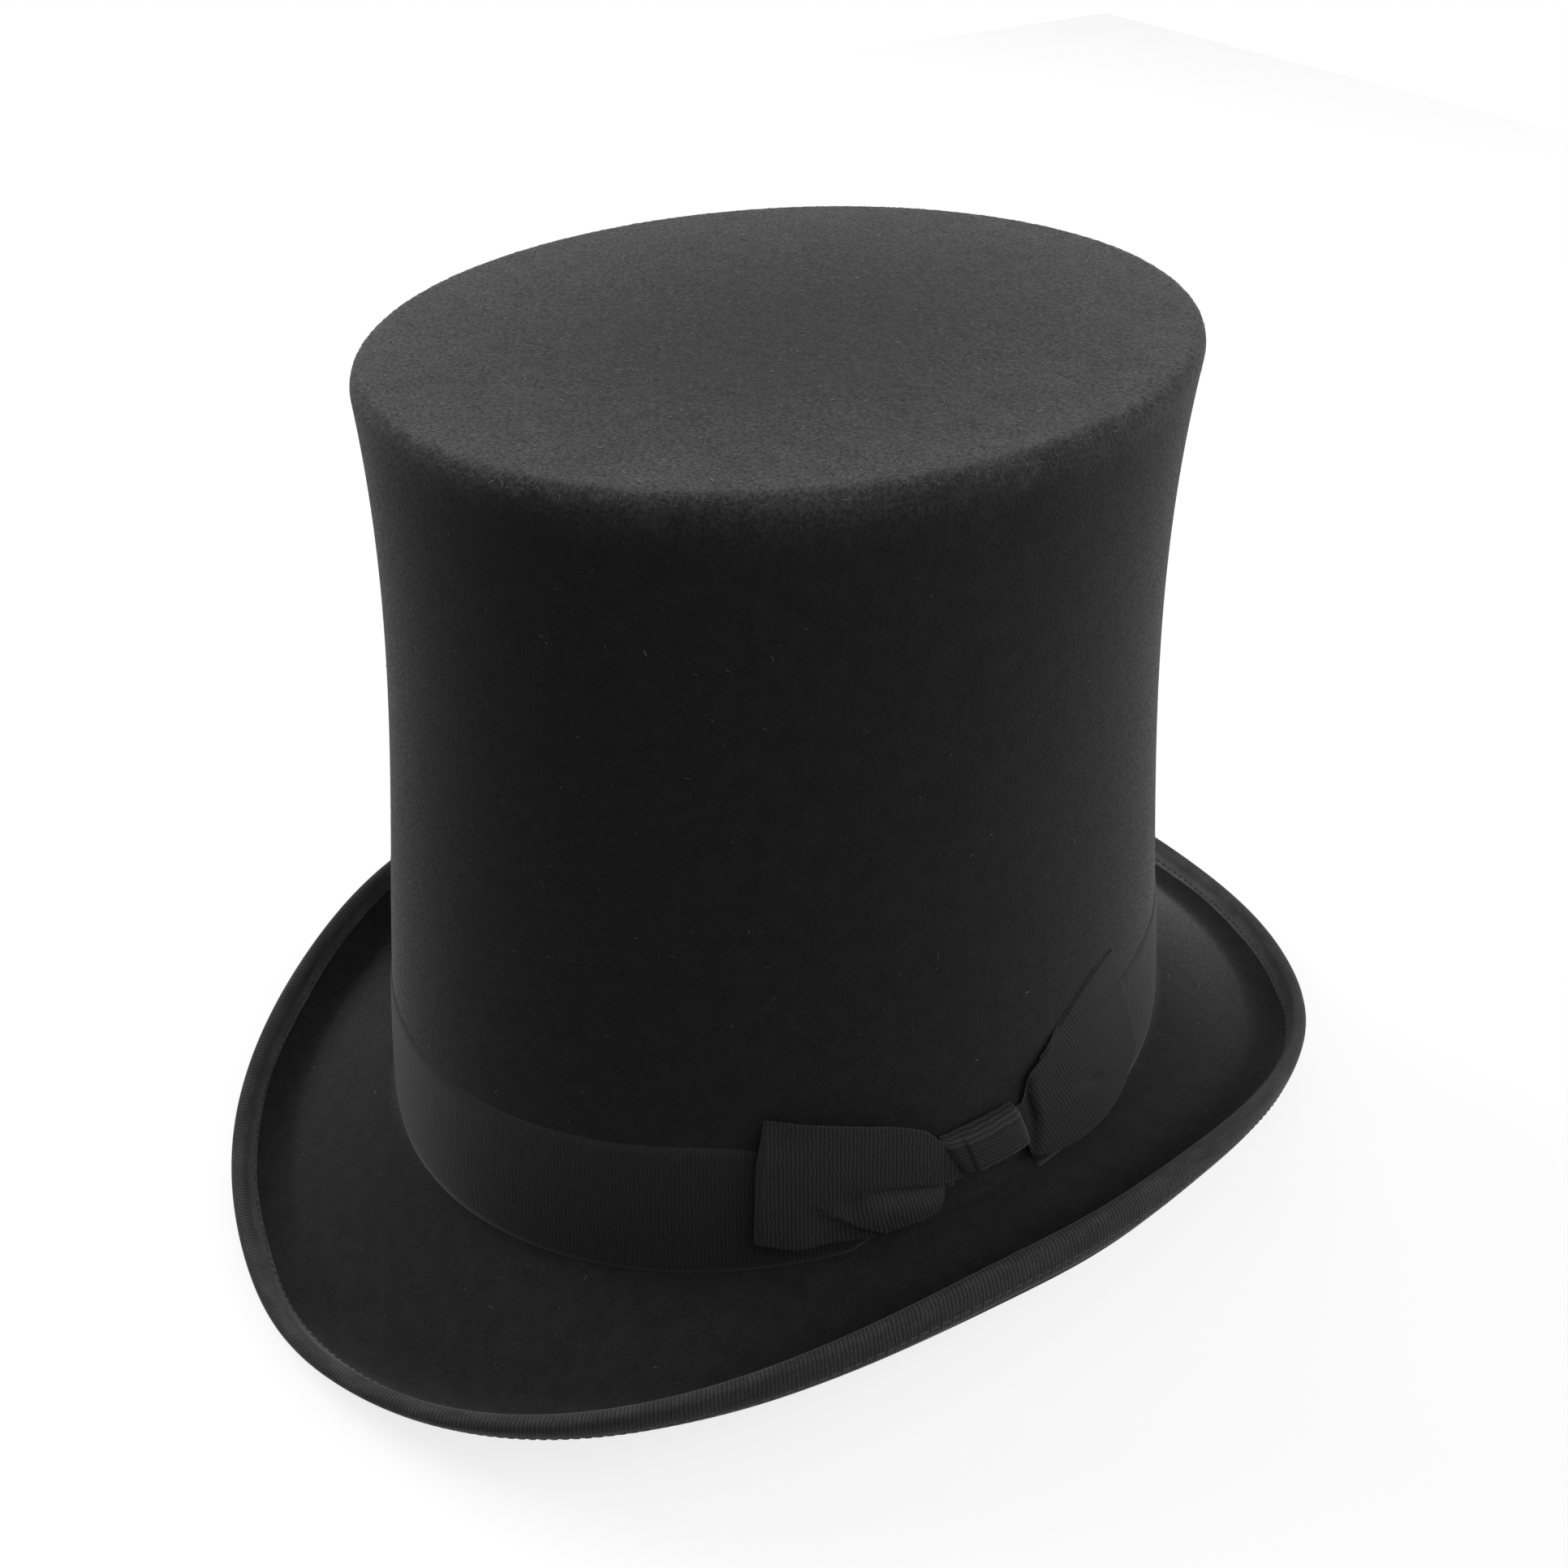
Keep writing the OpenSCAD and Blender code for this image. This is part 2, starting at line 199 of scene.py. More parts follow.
def lattice(rows: int, columns: int, cloth: Array, join_rows: bool,
            join_columns: bool) -> tuple[Array, Array]:
    """Lists the four-sided faces of a grid of points.

    Args:
        rows: number of rows of points.
        columns: number of points in a row.
        cloth: cloth coordinates of the grid, with one more row or column where that way is joined.
        join_rows: whether the last row is joined to the first.
        join_columns: whether the last column is joined to the first.

    Returns:
        Faces as indices of points, and the cloth coordinates of their corners.
    """
    r = np.arange(rows if join_rows else rows - 1)[:, None]
    c = np.arange(columns if join_columns else columns - 1)[None, :]
    steps = ((0, 0), (0, 1), (1, 1), (1, 0))
    quads = np.stack([(r + i) % rows * columns + (c + j) % columns for i, j in steps], -1)
    corners = np.stack([cloth[r + i, c + j] for i, j in steps], 2)
    return quads.reshape(-1, 4), corners.reshape(-1, 4, 2)


def lay_shell(name: str, points: Array, cloth: Array, painted_light: Array | None = None) -> Piece:
    """Lays a closed shell turned round an axis, from one pole to the other.

    Args:
        name: name of the piece.
        points: rows of points from pole to pole, each row once round; a pole is a row of one repeated point.
        cloth: cloth coordinates of the rows, with one column more than the points.
        painted_light: painted light of each row, how much paler it is painted, from 0 to 1.

    Returns:
        The new object.
    """
    rows, columns = points.shape[:2]
    quads, corners = lattice(rows - 2, columns, cloth[1:-1], False, True)
    flat = np.concatenate([points[1:-1].reshape(-1, 3), points[:1, 0], points[-1:, 0]])
    j = np.arange(columns)
    after = (j + 1) % columns
    first, last = np.full(columns, len(flat) - 2), np.full(columns, len(flat) - 1)
    end = (rows - 3) * columns
    fans = np.concatenate([np.stack([first, after, j], 1), np.stack([last, end + j, end + after], 1)])
    fan_cloth = np.concatenate([
        np.stack([cloth[0, :-1], cloth[1, 1:], cloth[1, :-1]], 1),
        np.stack([cloth[-1, :-1], cloth[-2, :-1], cloth[-2, 1:]], 1)])
    if painted_light is not None:
        painted_light = np.concatenate([np.repeat(painted_light[1:-1], columns), painted_light[:1], painted_light[-1:]])
    return put(name, flat, [quads, fans], [corners, fan_cloth], painted_light)


def lay_ring(name: str, points: Array, cloth: Array) -> Piece:
    """Lays a closed ring: a closed profile, one row a point of it, carried once round."""
    quads, corners = lattice(*points.shape[:2], cloth, True, True)
    return put(name, points.reshape(-1, 3), [quads], [corners])


def lay_ribbon(name: str, points: Array, cloth: Array, thickness: float, joined: bool = False) -> Piece:
    """Lays a ribbon with a thickness and rounded edges over its middle surface.

    The surface is moved half the thickness out and in along its normals, which are the cross products of
    its slopes along and across. One point in the middle of each edge, half the thickness further out,
    rounds it, and faces between the two skins close the ends.

    Args:
        name: name of the piece.
        points: rows of points along the ribbon, each row across it.
        cloth: cloth coordinates, with one row more where the ribbon is joined.
        thickness: thickness of the ribbon in millimetres.
        joined: whether the ribbon's end is joined to its start.

    Returns:
        The new object.
    """
    rows, across = points.shape[:2]
    before = points[-2:-1] if joined else points[:1]
    after = points[1:2] if joined else points[-1:]
    held = np.concatenate([before, points, after])
    along = held[2:] - held[:-2]
    normal = unit(np.cross(along, np.gradient(points, axis=1)))
    half = thickness / 2
    low = points[:, :1] + unit(points[:, :1] - points[:, 1:2]) * half
    high = points[:, -1:] + unit(points[:, -1:] - points[:, -2:-1]) * half
    skin = np.concatenate([points + normal * half, high, (points - normal * half)[:, ::-1], low], 1)
    wrap = np.concatenate([cloth, cloth[:, -1:], cloth[:, ::-1], cloth[:, :1], cloth[:, :1]], 1)
    columns = skin.shape[1]
    quads, corners = lattice(rows, columns, wrap, joined, True)
    faces, coords = [quads], [corners]
    if not joined:
        k = np.arange(across - 1)
        strip = np.stack([k, k + 1, 2 * across - k - 1, 2 * across - k], 1)
        tips = np.array([[across - 1, across, across + 1], [2 * across, 2 * across + 1, 0]])
        for row, turn in ((0, -1), (rows - 1, 1)):
            faces += [strip[:, ::turn] + row * columns, tips[:, ::turn] + row * columns]
            coords += [wrap[row][strip[:, ::turn]], wrap[row][tips[:, ::turn]]]
    return put(name, skin.reshape(-1, 3), faces, coords)


def lay_hoop(name: str, points: Array, length: float, across: Array, thickness: float) -> Piece:
    """Lays a ribbon round the hat, joined end to end.

    Args:
        name: name of the piece.
        points: rows of points once round, one row a place across the ribbon.
        length: length of ribbon once round.
        across: width of ribbon to each row.
        thickness: thickness of the ribbon in millimetres.

    Returns:
        The new object.
    """
    columns = points.shape[1]
    along = np.arange(columns + 1) / columns * length
    cloth = np.stack(np.meshgrid(along, across, indexing="ij"), -1)
    return lay_ribbon(name, np.moveaxis(points, 0, 1), cloth, thickness, joined=True)


def lay_stitches(name: str, at: Array, way: Array, out: Array, size: Triple) -> Piece:
    """Lays one small flat-bellied stitch at each place: six-sided rings, narrowed at both ends.

    Args:
        name: name of the piece.
        at: middles of the stitches.
        way: direction of each stitch.
        out: direction out of the cloth at each stitch.
        size: length, width and height of a stitch.

    Returns:
        The new object.
    """
    length, width, height = size
    way, out = unit(way), unit(out)
    beside = np.cross(way, out)
    x = np.array(STITCH_RINGS)[None, :, None, None]
    full = np.array(STITCH_FULL)[None, :, None, None]
    turn = angles(STITCH_SIDES)[None, None, :, None]
    spread = (beside[:, None, None] * np.cos(turn) * width + out[:, None, None] * np.sin(turn) * height) / 2
    points = at[:, None, None] + way[:, None, None] * x * length + spread * full
    rings, each = len(STITCH_RINGS), len(STITCH_RINGS) * STITCH_SIDES
    quads, _ = lattice(rings, STITCH_SIDES, np.zeros((rings, STITCH_SIDES + 1, 2)), False, True)
    ends = np.array([np.arange(STITCH_SIDES)[::-1], np.arange(each - STITCH_SIDES, each)])
    shift = (np.arange(len(at)) * each)[:, None, None]
    faces = [(shape[None] + shift).reshape(-1, shape.shape[1]) for shape in (quads, ends)]
    return put(name, points.reshape(-1, 3), faces, [np.zeros((*f.shape, 2)) for f in faces])


def lay_fibres(name: str, at: Array, way: Array, out: Array, size: Array, shade: Array) -> Piece:
    """Lays loose fibres: each a bent three-sided spindle with a point at both ends.

    The line of a fibre is straight along it, bows sideways by the square of the distance from its middle and
    lifts off the cloth towards its ends in the same way.

    Args:
        name: name of the piece.
        at: middles of the fibres.
        way: direction of each fibre along the cloth.
        out: direction out of the cloth at each fibre.
        size: length, width, bow and lift of each fibre, one a row.
        shade: how pale each fibre is, from 0 to 1, kept as a cloth coordinate.

    Returns:
        The new object.
    """
    way, out = unit(way), unit(out)
    beside = np.cross(way, out)
    length, width, bow, lift = (column[:, None, None] for column in size.T)
    x = np.array(FIBRE_RINGS)[None, :, None]
    bend = (beside[:, None] * bow + out[:, None] * lift) * (2 * x) ** 2
    line = at[:, None] + way[:, None] * x * length + bend
    turn = angles(FIBRE_SIDES)[None, None, :, None]
    spread = (beside[:, None, None] * np.cos(turn) + out[:, None, None] * np.sin(turn)) * width[..., None] / 2
    rings = (line[:, 1:-1, None] + spread).reshape(len(at), -1, 3)
    points = np.concatenate([line[:, :1], rings, line[:, -1:]], 1)
    tips = np.array([[0, 1, 2], [0, 2, 3], [0, 3, 1], [7, 5, 4], [7, 6, 5], [7, 4, 6]])
    sides = np.array([[1, 4, 5, 2], [2, 5, 6, 3], [3, 6, 4, 1]])
    shift = (np.arange(len(at)) * points.shape[1])[:, None, None]
    faces = [(shape[None] + shift).reshape(-1, shape.shape[1]) for shape in (tips, sides)]
    shades = [np.repeat(shade, f.size // len(at)).reshape(f.shape) for f in faces]
    cloth = [np.stack([s, np.zeros_like(s)], -1) for s in shades]
    return put(name, points.reshape(-1, 3), faces, cloth)


@dataclass(frozen=True)
class Block:
    """Form that the felt is blocked to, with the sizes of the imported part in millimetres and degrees."""

    half_w: float = 84.65
    half_l: float = 104.15
    narrow_w: float = 8.65
    narrow_l: float = 15.3
    crown_h: float = 182.0
    side_lean: float = 5.5
    tip_flare: float = 5.0
    tip_edge_r: float = 4.0
    felt_t: float = 2.4
    brim_end_w: float = 51.0
    brim_side_w: float = 36.5
    end_droop: float = 36.0
    side_droop: float = 7.0
    end_curl: float = 72.0
    side_curl: float = 131.0
    curl_r: float = 9.0
    break_dip: float = 3.0
    brim_z: float = 25.924
    fit_gap: float = 0.3
    ribbon_w: float = 36.0
    ribbon_t: float = 0.5
    reed_d: float = 1.8
    # Unevenness of hand blocking: the height of its waves. The standing wave has its waves round, start,
    # height up the crown and start there, and a slanting one its waves round, start, height and share.
    waver: float = 0.3
    standing: tuple[float, float, float, float] = (2, 1.1, 47, 0.6)
    slanting: Sequence[tuple[float, float, float, float]] = ((3, 0.4, 61, 0.7), (5, 0, -33, 0.4))
    firm_foot: float = 60.0
    brim_waves: Waves = ((3, 0.8, 1.0), (7, 2.0, 0.6))
    lean_back: float = 0.4
    sway: float = 0.7
    stretched: Bells = ((62, 24, 1.5), (5, 11, 1.1), (-84, 9, 0.9), (-112, 12, 0.6))
    lifted: Bells = ((76, 15, 1.6), (-143, 10, 1.2))

    def around(self, a: Array, at_end: float, at_side: float) -> Array:
        """Blends a value for the front and back with one for the sides by the square of the cosine."""
        return at_end + (at_side - at_end) * np.cos(a) ** 2

    def droop(self, a: Array) -> Array:
        """Slope of the brim down from the crown, in radians."""
        return np.radians(self.around(a, self.end_droop, self.side_droop))

    def bells(self, a: Array, bells: Bells) -> Array:
        """Adds bell curves round the rim.

        Args:
            a: angle round the oval.
            bells: angle and spread of each bell in degrees, and its height.

        Returns:
            Sum of the bells at each angle.
        """
        total = np.zeros_like(a)
        for at, spread, high in bells:
            off = np.degrees(np.mod(a - np.radians(at) + np.pi, TURN) - np.pi)
            total = total + high * np.exp(-(off / spread) ** 2)
        return total

    def brim_w(self, a: Array) -> Array:
        """Width of the brim along the felt, with bells where the felt was stretched in shaping it."""
        return self.around(a, self.brim_end_w, self.brim_side_w) + self.bells(a, self.stretched)

    def break_h(self, a: Array) -> Array:
        """Height of the line between crown and brim."""
        return self.around(a, -self.break_dip, 0)

    def inset(self, h: Array, narrow: float) -> Array:
        """Measures how far the side stands in: a lean that dies away, an easing to the tip and a flare.

        Args:
            h: height above the brim.
            narrow: how much narrower the tip is than the foot, on one side.

        Returns:
            Distance in from the foot at each height.
        """
        t = np.maximum(h, 0) / self.crown_h
        lean = t * (1 - t) ** 2 * np.tan(np.radians(self.side_lean))
        flare = t * t * (1 - t) * np.tan(np.radians(self.tip_flare))
        return (lean + flare) * self.crown_h + t * t * (3 - 2 * t) * narrow

    def unevenness(self, a: Array, h: Array) -> Array:
        """Draws the slow waves left by blocking by hand: a standing sine and slanting ones, none at the foot.

        Args:
            a: angle round the crown.
            h: height above the brim.

        Returns:
            Distance that the side stands out by.
        """
        count, start, tall, rise = self.standing
        total = np.sin(count * a + start) * np.sin(h / tall + rise)
        for count, start, tall, share in self.slanting:
            total = total + share * np.sin(count * a + start + h / tall)
        return self.waver * total * ease(h / self.firm_foot)

    def side(self, a: Array, h: Array, inset: Array | float) -> Array:
        """Places points on the side of the crown.

        Args:
            a: angle round the crown.
            h: height above the brim.
            inset: distance in from the crown's outer face.

        Returns:
            Points, broadcast over the three arguments.
        """
        inset = inset - self.unevenness(a, h)
        x = (self.half_w - self.inset(h, self.narrow_w) - inset) * np.cos(a)
        y = (self.half_l - self.inset(h, self.narrow_l) - inset) * np.sin(a) + self.back(h)
        return np.stack(np.broadcast_arrays(x, y, self.brim_z + h), -1)

    def back(self, h: Array) -> Array:
        """How far the crown leans back, by the square of the height, less a forward sway at half height."""
        t = np.maximum(h, 0) / self.crown_h
        return self.lean_back * t * t - self.sway * 4 * t * (1 - t)

    def axis_at(self, h: float) -> Array:
        """Point in the middle of the crown's tip, at a height above the brim."""
        return np.array([0, self.lean_back, self.brim_z + h])

    def brim(self, a: Array, along: Array, offset: Array | float) -> Array:
        """Places points on the brim: a straight slope out from the oval, then an arc of the curl's radius.

        Args:
            a: angle round the oval.
            along: length along the felt from the crown.
            offset: distance above the felt's middle surface.

        Returns:
            Points, broadcast over the three arguments.
        """
        droop = self.droop(a)
        curl = np.radians(self.around(a, self.end_curl, self.side_curl))
        run = self.brim_w(a) - self.curl_r * (curl + droop)
        flat = np.minimum(along, run)
        tilt = np.maximum(along - run, 0) / self.curl_r - droop
        out = flat * np.cos(droop) + self.curl_r * (np.sin(tilt) + np.sin(droop)) - offset * np.sin(tilt)
        up = -flat * np.sin(droop) + self.curl_r * (np.cos(droop) - np.cos(tilt)) + offset * np.cos(tilt)
        nx, ny = np.cos(a) / self.half_w, np.sin(a) / self.half_l
        size = np.hypot(nx, ny)
        uneven = self.waver * waves(a, self.brim_waves) + self.bells(a, self.lifted)
        swell = uneven * ease(along / self.brim_w(a))
        x = self.half_w * np.cos(a) + nx / size * out
        y = self.half_l * np.sin(a) + ny / size * out
        return np.stack(np.broadcast_arrays(x, y, self.brim_z + self.break_h(a) + up + swell), -1)

    def foot_h(self, a: Array) -> Array:
        """Height where the brim's upper face meets the side."""
        return self.break_h(a) + self.felt_t / 2 / np.cos(self.droop(a))

    def sweatband_low(self, a: Array) -> Array:
        """Height of the sweatband's lower edge, above its reed."""
        return self.break_h(a) + self.felt_t / 2 + self.reed_d + self.fit_gap

    def beside(self, s: Array, out: Array, h: Array) -> Array:
        """Point beside the crown at the bow, s along the band behind the middle of the side."""
        return self.side(s / self.half_l, h, -out)


def add(tree: Tree, kind: str, links: Links | None = None, **settings: Any) -> bpy.types.Node:
    """Adds a shader node with its settings, and links or sets its inputs.

    Args:
        tree: node tree of a material or the world.
        kind: type of the node, without the words ShaderNode.
        links: for each input, a node whose first live output it takes, a socket, or a value to set.
        settings: properties of the node.

    Returns:
        The new node.
    """
    node = tree.nodes.new("ShaderNode" + kind)
    for key, value in settings.items():
        setattr(node, key, value)
    for key, value in (links or {}).items():
        if isinstance(value, bpy.types.Node):
            value = next(socket for socket in value.outputs if socket.enabled)
        if isinstance(value, bpy.types.NodeSocket):
            tree.links.new(value, node.inputs[key])
        else:
            node.inputs[key].default_value = value
    return node


def limits(word: str, span: Span) -> Links:
    """Names the two values of a span as the least and greatest of a range."""
    return {f"{word} Min": span[0], f"{word} Max": span[1]}


def fresh(name: str) -> tuple[Material, Tree]:
    """Makes an empty material with nodes.

    Args:
        name: name of the material.

    Returns:
        The material and its node tree.
    """
    made = bpy.data.materials.new(name)
    made.use_nodes = True
    made.node_tree.nodes.clear()
    return made, made.node_tree


def per_mm(size: float) -> float:
    """Scale of a pattern on Object coordinates, which are metres, for a feature of a size in millimetres."""
    return 1 / (size * MM)


@dataclass(frozen=True)
class Finish:
    """A material of the hat: each kind draws its own pattern, and the pattern feeds one shader."""

    name: str

    def shade(self, tree: Tree) -> Links:
        """Draws the pattern and returns the shader's inputs."""
        raise NotImplementedError(self.name)

    def material(self) -> Material:
        """Makes the material from the inputs that its pattern gives.

        Returns:
            The material.
        """
        made, tree = fresh(self.name)
        shader = add(tree, "BsdfPrincipled", self.shade(tree))
        add(tree, "OutputMaterial", {"Surface": shader})
        return made


@dataclass(frozen=True)
class WoolFelt(Finish):
    """Stiffened wool felt, brushed: a matt dark nap, painted paler on the tip and its edge as painted light,
    and paler where it is seen edge-on as a painted sheen.

    Each noise is given by the size of its features in millimetres, its detail and its roughness.
    """

    name: str = "black_wool_felt"
    dark: str = "#2c2d2c"
    pale: str = "#3a3b3a"
    # Paler colour of the tip and its edge, flecked: painted light standing for the light on the top.
    painted_pale: str = "#777877"
    # Pale colour mixed in where the felt is seen edge-on: a painted sheen.
    bloom: str = "#9a9b9a"
    # Real wool fibres are too fine to show, so the nap and the flecks are drawn coarser.
    nap: Triple = (0.6, 3.0, 0.65)
    fleck: Triple = (0.8, 3.0, 0.75)
    cloud: Triple = (4.5, 3.0, 0.6)
    blotch: Triple = (16.0, 2.0, 0.5)
    noise_range: Span = (0.3, 0.7)
    cloud_share: Span = (-0.35, 0.35)
    blotch_share: Span = (0.8, 1.2)
    cloud_in_painted_light: float = 0.7
    fleck_range: Span = (0.36, 0.66)
    fleck_share: Span = (0.3, 1.7)
    painted_sheen_power: float = 4.0
    rough: Span = (0.85, 1.0)
    pile_mm: float = 0.13
    gloss: float = 0.12
    sheen: float = 0.15
    sheen_rough: float = 0.45
    sheen_tint: str = "#b7b8b8"

    def shade(self, tree: Tree) -> Links:
        """Mixes a fine nap with faint clouds, paints it paler by the attribute of painted light and adds a
        painted sheen at the outline.

        The painted sheen is a pale colour mixed into the base colour where the surface is seen edge-on: it
        grows with a power of how far the surface turns from the eye, and is flecked as the painted light is.

        Args:
            tree: nodes of the material.

        Returns:
            Inputs of the shader.
        """
        where = add(tree, "TexCoord").outputs["Object"]
        nap, cloud, blotch, speck = (
            add(tree, "TexNoise", {"Vector": where, "Scale": per_mm(size), "Detail": detail,
                                   "Roughness": rough})
            for size, detail, rough in (self.nap, self.cloud, self.blotch, self.fleck))
        middle = limits("From", self.noise_range)
        fine = add(tree, "MapRange", {"Value": nap, **middle})
        slow = add(tree, "MapRange", {"Value": cloud, **middle, **limits("To", self.cloud_share)})
        broad = add(tree, "MapRange", {"Value": blotch, **middle, **limits("To", self.blotch_share)})
        fleck = add(tree, "MapRange", {"Value": speck, **limits("From", self.fleck_range),
                                       **limits("To", self.fleck_share)})
        level = add(tree, "Math", {0: fine, 1: slow}, operation="ADD")
        colour = add(tree, "Mix", {0: level, 6: linear(self.dark), 7: linear(self.pale)}, data_type="RGBA")
        # Painted light: the tip and its edge are painted paler in flecked patches, standing for the light on
        # the top.
        painted_light = add(tree, "Attribute", attribute_name="painted_light").outputs["Fac"]
        patch = add(tree, "Math", {0: slow, 1: self.cloud_in_painted_light, 2: broad}, operation="MULTIPLY_ADD")
        painted_light_patches = add(tree, "Math", {0: painted_light, 1: patch}, operation="MULTIPLY")
        scuff_and_painted_light = add(tree, "Math", {0: painted_light_patches, 1: fleck}, operation="MULTIPLY")
        with_painted_light = add(tree, "Mix", {0: scuff_and_painted_light, 6: colour, 7: linear(self.painted_pale)}, data_type="RGBA")
        # Painted sheen: the base colour turns pale where the surface is seen edge-on, by a power of the
        # facing.
        facing = add(tree, "LayerWeight", {"Blend": 0.5}).outputs["Facing"]
        along = add(tree, "Math", {0: facing, 1: self.painted_sheen_power}, operation="POWER")
        ends = add(tree, "Math", {0: along, 1: fleck}, operation="MULTIPLY", use_clamp=True)
        with_painted_sheen = add(tree, "Mix", {0: ends, 6: with_painted_light, 7: linear(self.bloom)}, data_type="RGBA")
        rough = add(tree, "MapRange", {"Value": nap, **limits("To", self.rough)})
        pile = add(tree, "Bump", {"Height": fine, "Strength": 1.0, "Distance": self.pile_mm * MM})
        return {"Base Color": with_painted_sheen, "Roughness": rough, "Normal": pile, "Specular IOR Level": self.gloss,
                "Sheen Weight": self.sheen, "Sheen Roughness": self.sheen_rough,
                "Sheen Tint": linear(self.sheen_tint)}


@dataclass(frozen=True)
class WoolFibre(Finish):
    """Loose wool and lint on the felt: fine grey fibres, a few of them white, with a soft edge of light."""

    name: str = "loose_wool_fibre"
    grey: str = "#7c7d7c"
    white: str = "#ecedec"
    mottle_mm: float = 0.5
    rough: Span = (0.6, 0.8)
    sheen: float = 0.4

    def shade(self, tree: Tree) -> Links:
        """Shades each fibre by its own cloth coordinate, mottled along it by a noise.

        Args:
            tree: nodes of the material.

        Returns:
            Inputs of the shader.
        """
        shade = add(tree, "SeparateXYZ", {0: add(tree, "UVMap", uv_map="cloth")}).outputs["X"]
        where = add(tree, "TexCoord").outputs["Object"]
        mottle = add(tree, "TexNoise", {"Vector": where, "Scale": per_mm(self.mottle_mm), "Detail": 1.0})
        level = add(tree, "Math", {0: shade, 1: mottle}, operation="MULTIPLY")
        colour = add(tree, "Mix", {0: level, 6: linear(self.grey), 7: linear(self.white)}, data_type="RGBA")
        rough = add(tree, "MapRange", {"Value": mottle, **limits("To", self.rough)})
        return {"Base Color": colour, "Roughness": rough, "Sheen Weight": self.sheen}


@dataclass(frozen=True)
class Grosgrain(Finish):
    """Rayon grosgrain: close round ribs across the ribbon, with a soft lustre and a painted highlight on each
    crest.
    """

    dark: str = "#383938"
    pale: str = "#515251"
    # Ribs of a real ribbon are about half this, too fine to show, so they are drawn coarser.
    rib_mm: float = 0.9
    rib_deep_mm: float = 0.1
    rib_strength: float = 0.8
    waviness_mm: float = 0.8
    weave_per_mm: float = 0.35
    yarn_per_mm: float = 3.0
    yarn_range: Span = (0.05, 0.6)
    lustre: float = 0.07
    bloom: float = 0.6
    bloom_rough: float = 0.35
    bloom_tint: str = "#b3b4b4"
    rough: Span = (0.5, 0.68)
    scuff: float = 0.0
    scuff_per_mm: Span = (0.09, 0.4)
    scuff_range: Span = (0.35, 0.7)
    # Paler colour painted in patches from the first edge: painted light of a face that catches the light.
    painted_pale: str = "#8a8b8a"
    painted_pale_mm: float = 0.0
    painted_pale_share: float = 1.6

    def shade(self, tree: Tree) -> Links:
        """Draws the ribs from the cloth coordinates: a sine along the ribbon, broken by a slow weave noise.
        The sine paints the crests pale and the troughs dark, a painted highlight and shade of the ribs.

        Along its first edge the ribbon is painted paler in patches, a painted highlight of a lit face, evenly
        from that edge to nothing at painted_pale_mm across.

        Args:
            tree: nodes of the material.

        Returns:
            Inputs of the shader.
        """
        cloth = add(tree, "UVMap", uv_map="cloth")
        parts = add(tree, "SeparateXYZ", {0: cloth}).outputs
        uneven, yarn = (
            add(tree, "TexNoise", {"Vector": cloth, "Scale": scale, "Detail": detail}, noise_dimensions="2D")
            for scale, detail in ((self.weave_per_mm, 3.0), (self.yarn_per_mm, 2.0)))
        shifted = add(tree, "Math", {0: uneven, 1: self.waviness_mm, 2: parts["X"]}, operation="MULTIPLY_ADD")
        phase = add(tree, "Math", {0: shifted, 1: TURN / self.rib_mm}, operation="MULTIPLY")
        wave = add(tree, "Math", {0: phase}, operation="SINE")
        crest = add(tree, "MapRange", {"Value": wave, **limits("From", (-1.0, 1.0))})
        # Painted highlight and shade: rib crests painted pale and troughs dark, mottled by the yarn noise.
        painted_light = add(tree, "Math", {0: yarn, 1: crest}, operation="MULTIPLY")
        level = add(tree, "MapRange", {"Value": painted_light, **limits("From", self.yarn_range)})
        patch = add(tree, "Mapping", {"Vector": cloth, "Scale": (*self.scuff_per_mm, 1.0)})
        rub = add(tree, "TexNoise", {"Vector": patch, "Scale": 1.0, "Detail": 4.0, "Roughness": 0.7},
                  noise_dimensions="2D")
        scuff_and_painted_light = add(tree, "MapRange", {"Value": rub, **limits("From", self.scuff_range),
                                        **limits("To", (-self.scuff, self.scuff))})
        shaded = add(tree, "Math", {0: level, 1: scuff_and_painted_light}, operation="ADD", use_clamp=True)
        colour = add(tree, "Mix", {0: shaded, 6: linear(self.dark), 7: linear(self.pale)}, data_type="RGBA")
        # Painted light: the first edge is painted paler in patches, standing for the light on the binding's
        # upper face.
        if self.painted_pale_mm:
            edge = add(tree, "MapRange", {"Value": parts["Y"], "From Max": self.painted_pale_mm,
                                          **limits("To", (self.painted_pale_share, 0.0))})
            share = add(tree, "Math", {0: edge, 1: rub}, operation="MULTIPLY", use_clamp=True)
            colour = add(tree, "Mix", {0: share, 6: colour, 7: linear(self.painted_pale)}, data_type="RGBA")
        rough = add(tree, "MapRange", {"Value": uneven, **limits("To", self.rough)})
        ribs = add(tree, "Bump", {"Height": crest, "Strength": self.rib_strength,
                                  "Distance": self.rib_deep_mm * MM})
        return {"Base Color": colour, "Roughness": rough, "Normal": ribs, "Specular IOR Level": self.lustre,
                "Sheen Weight": self.bloom, "Sheen Roughness": self.bloom_rough,
                "Sheen Tint": linear(self.bloom_tint)}


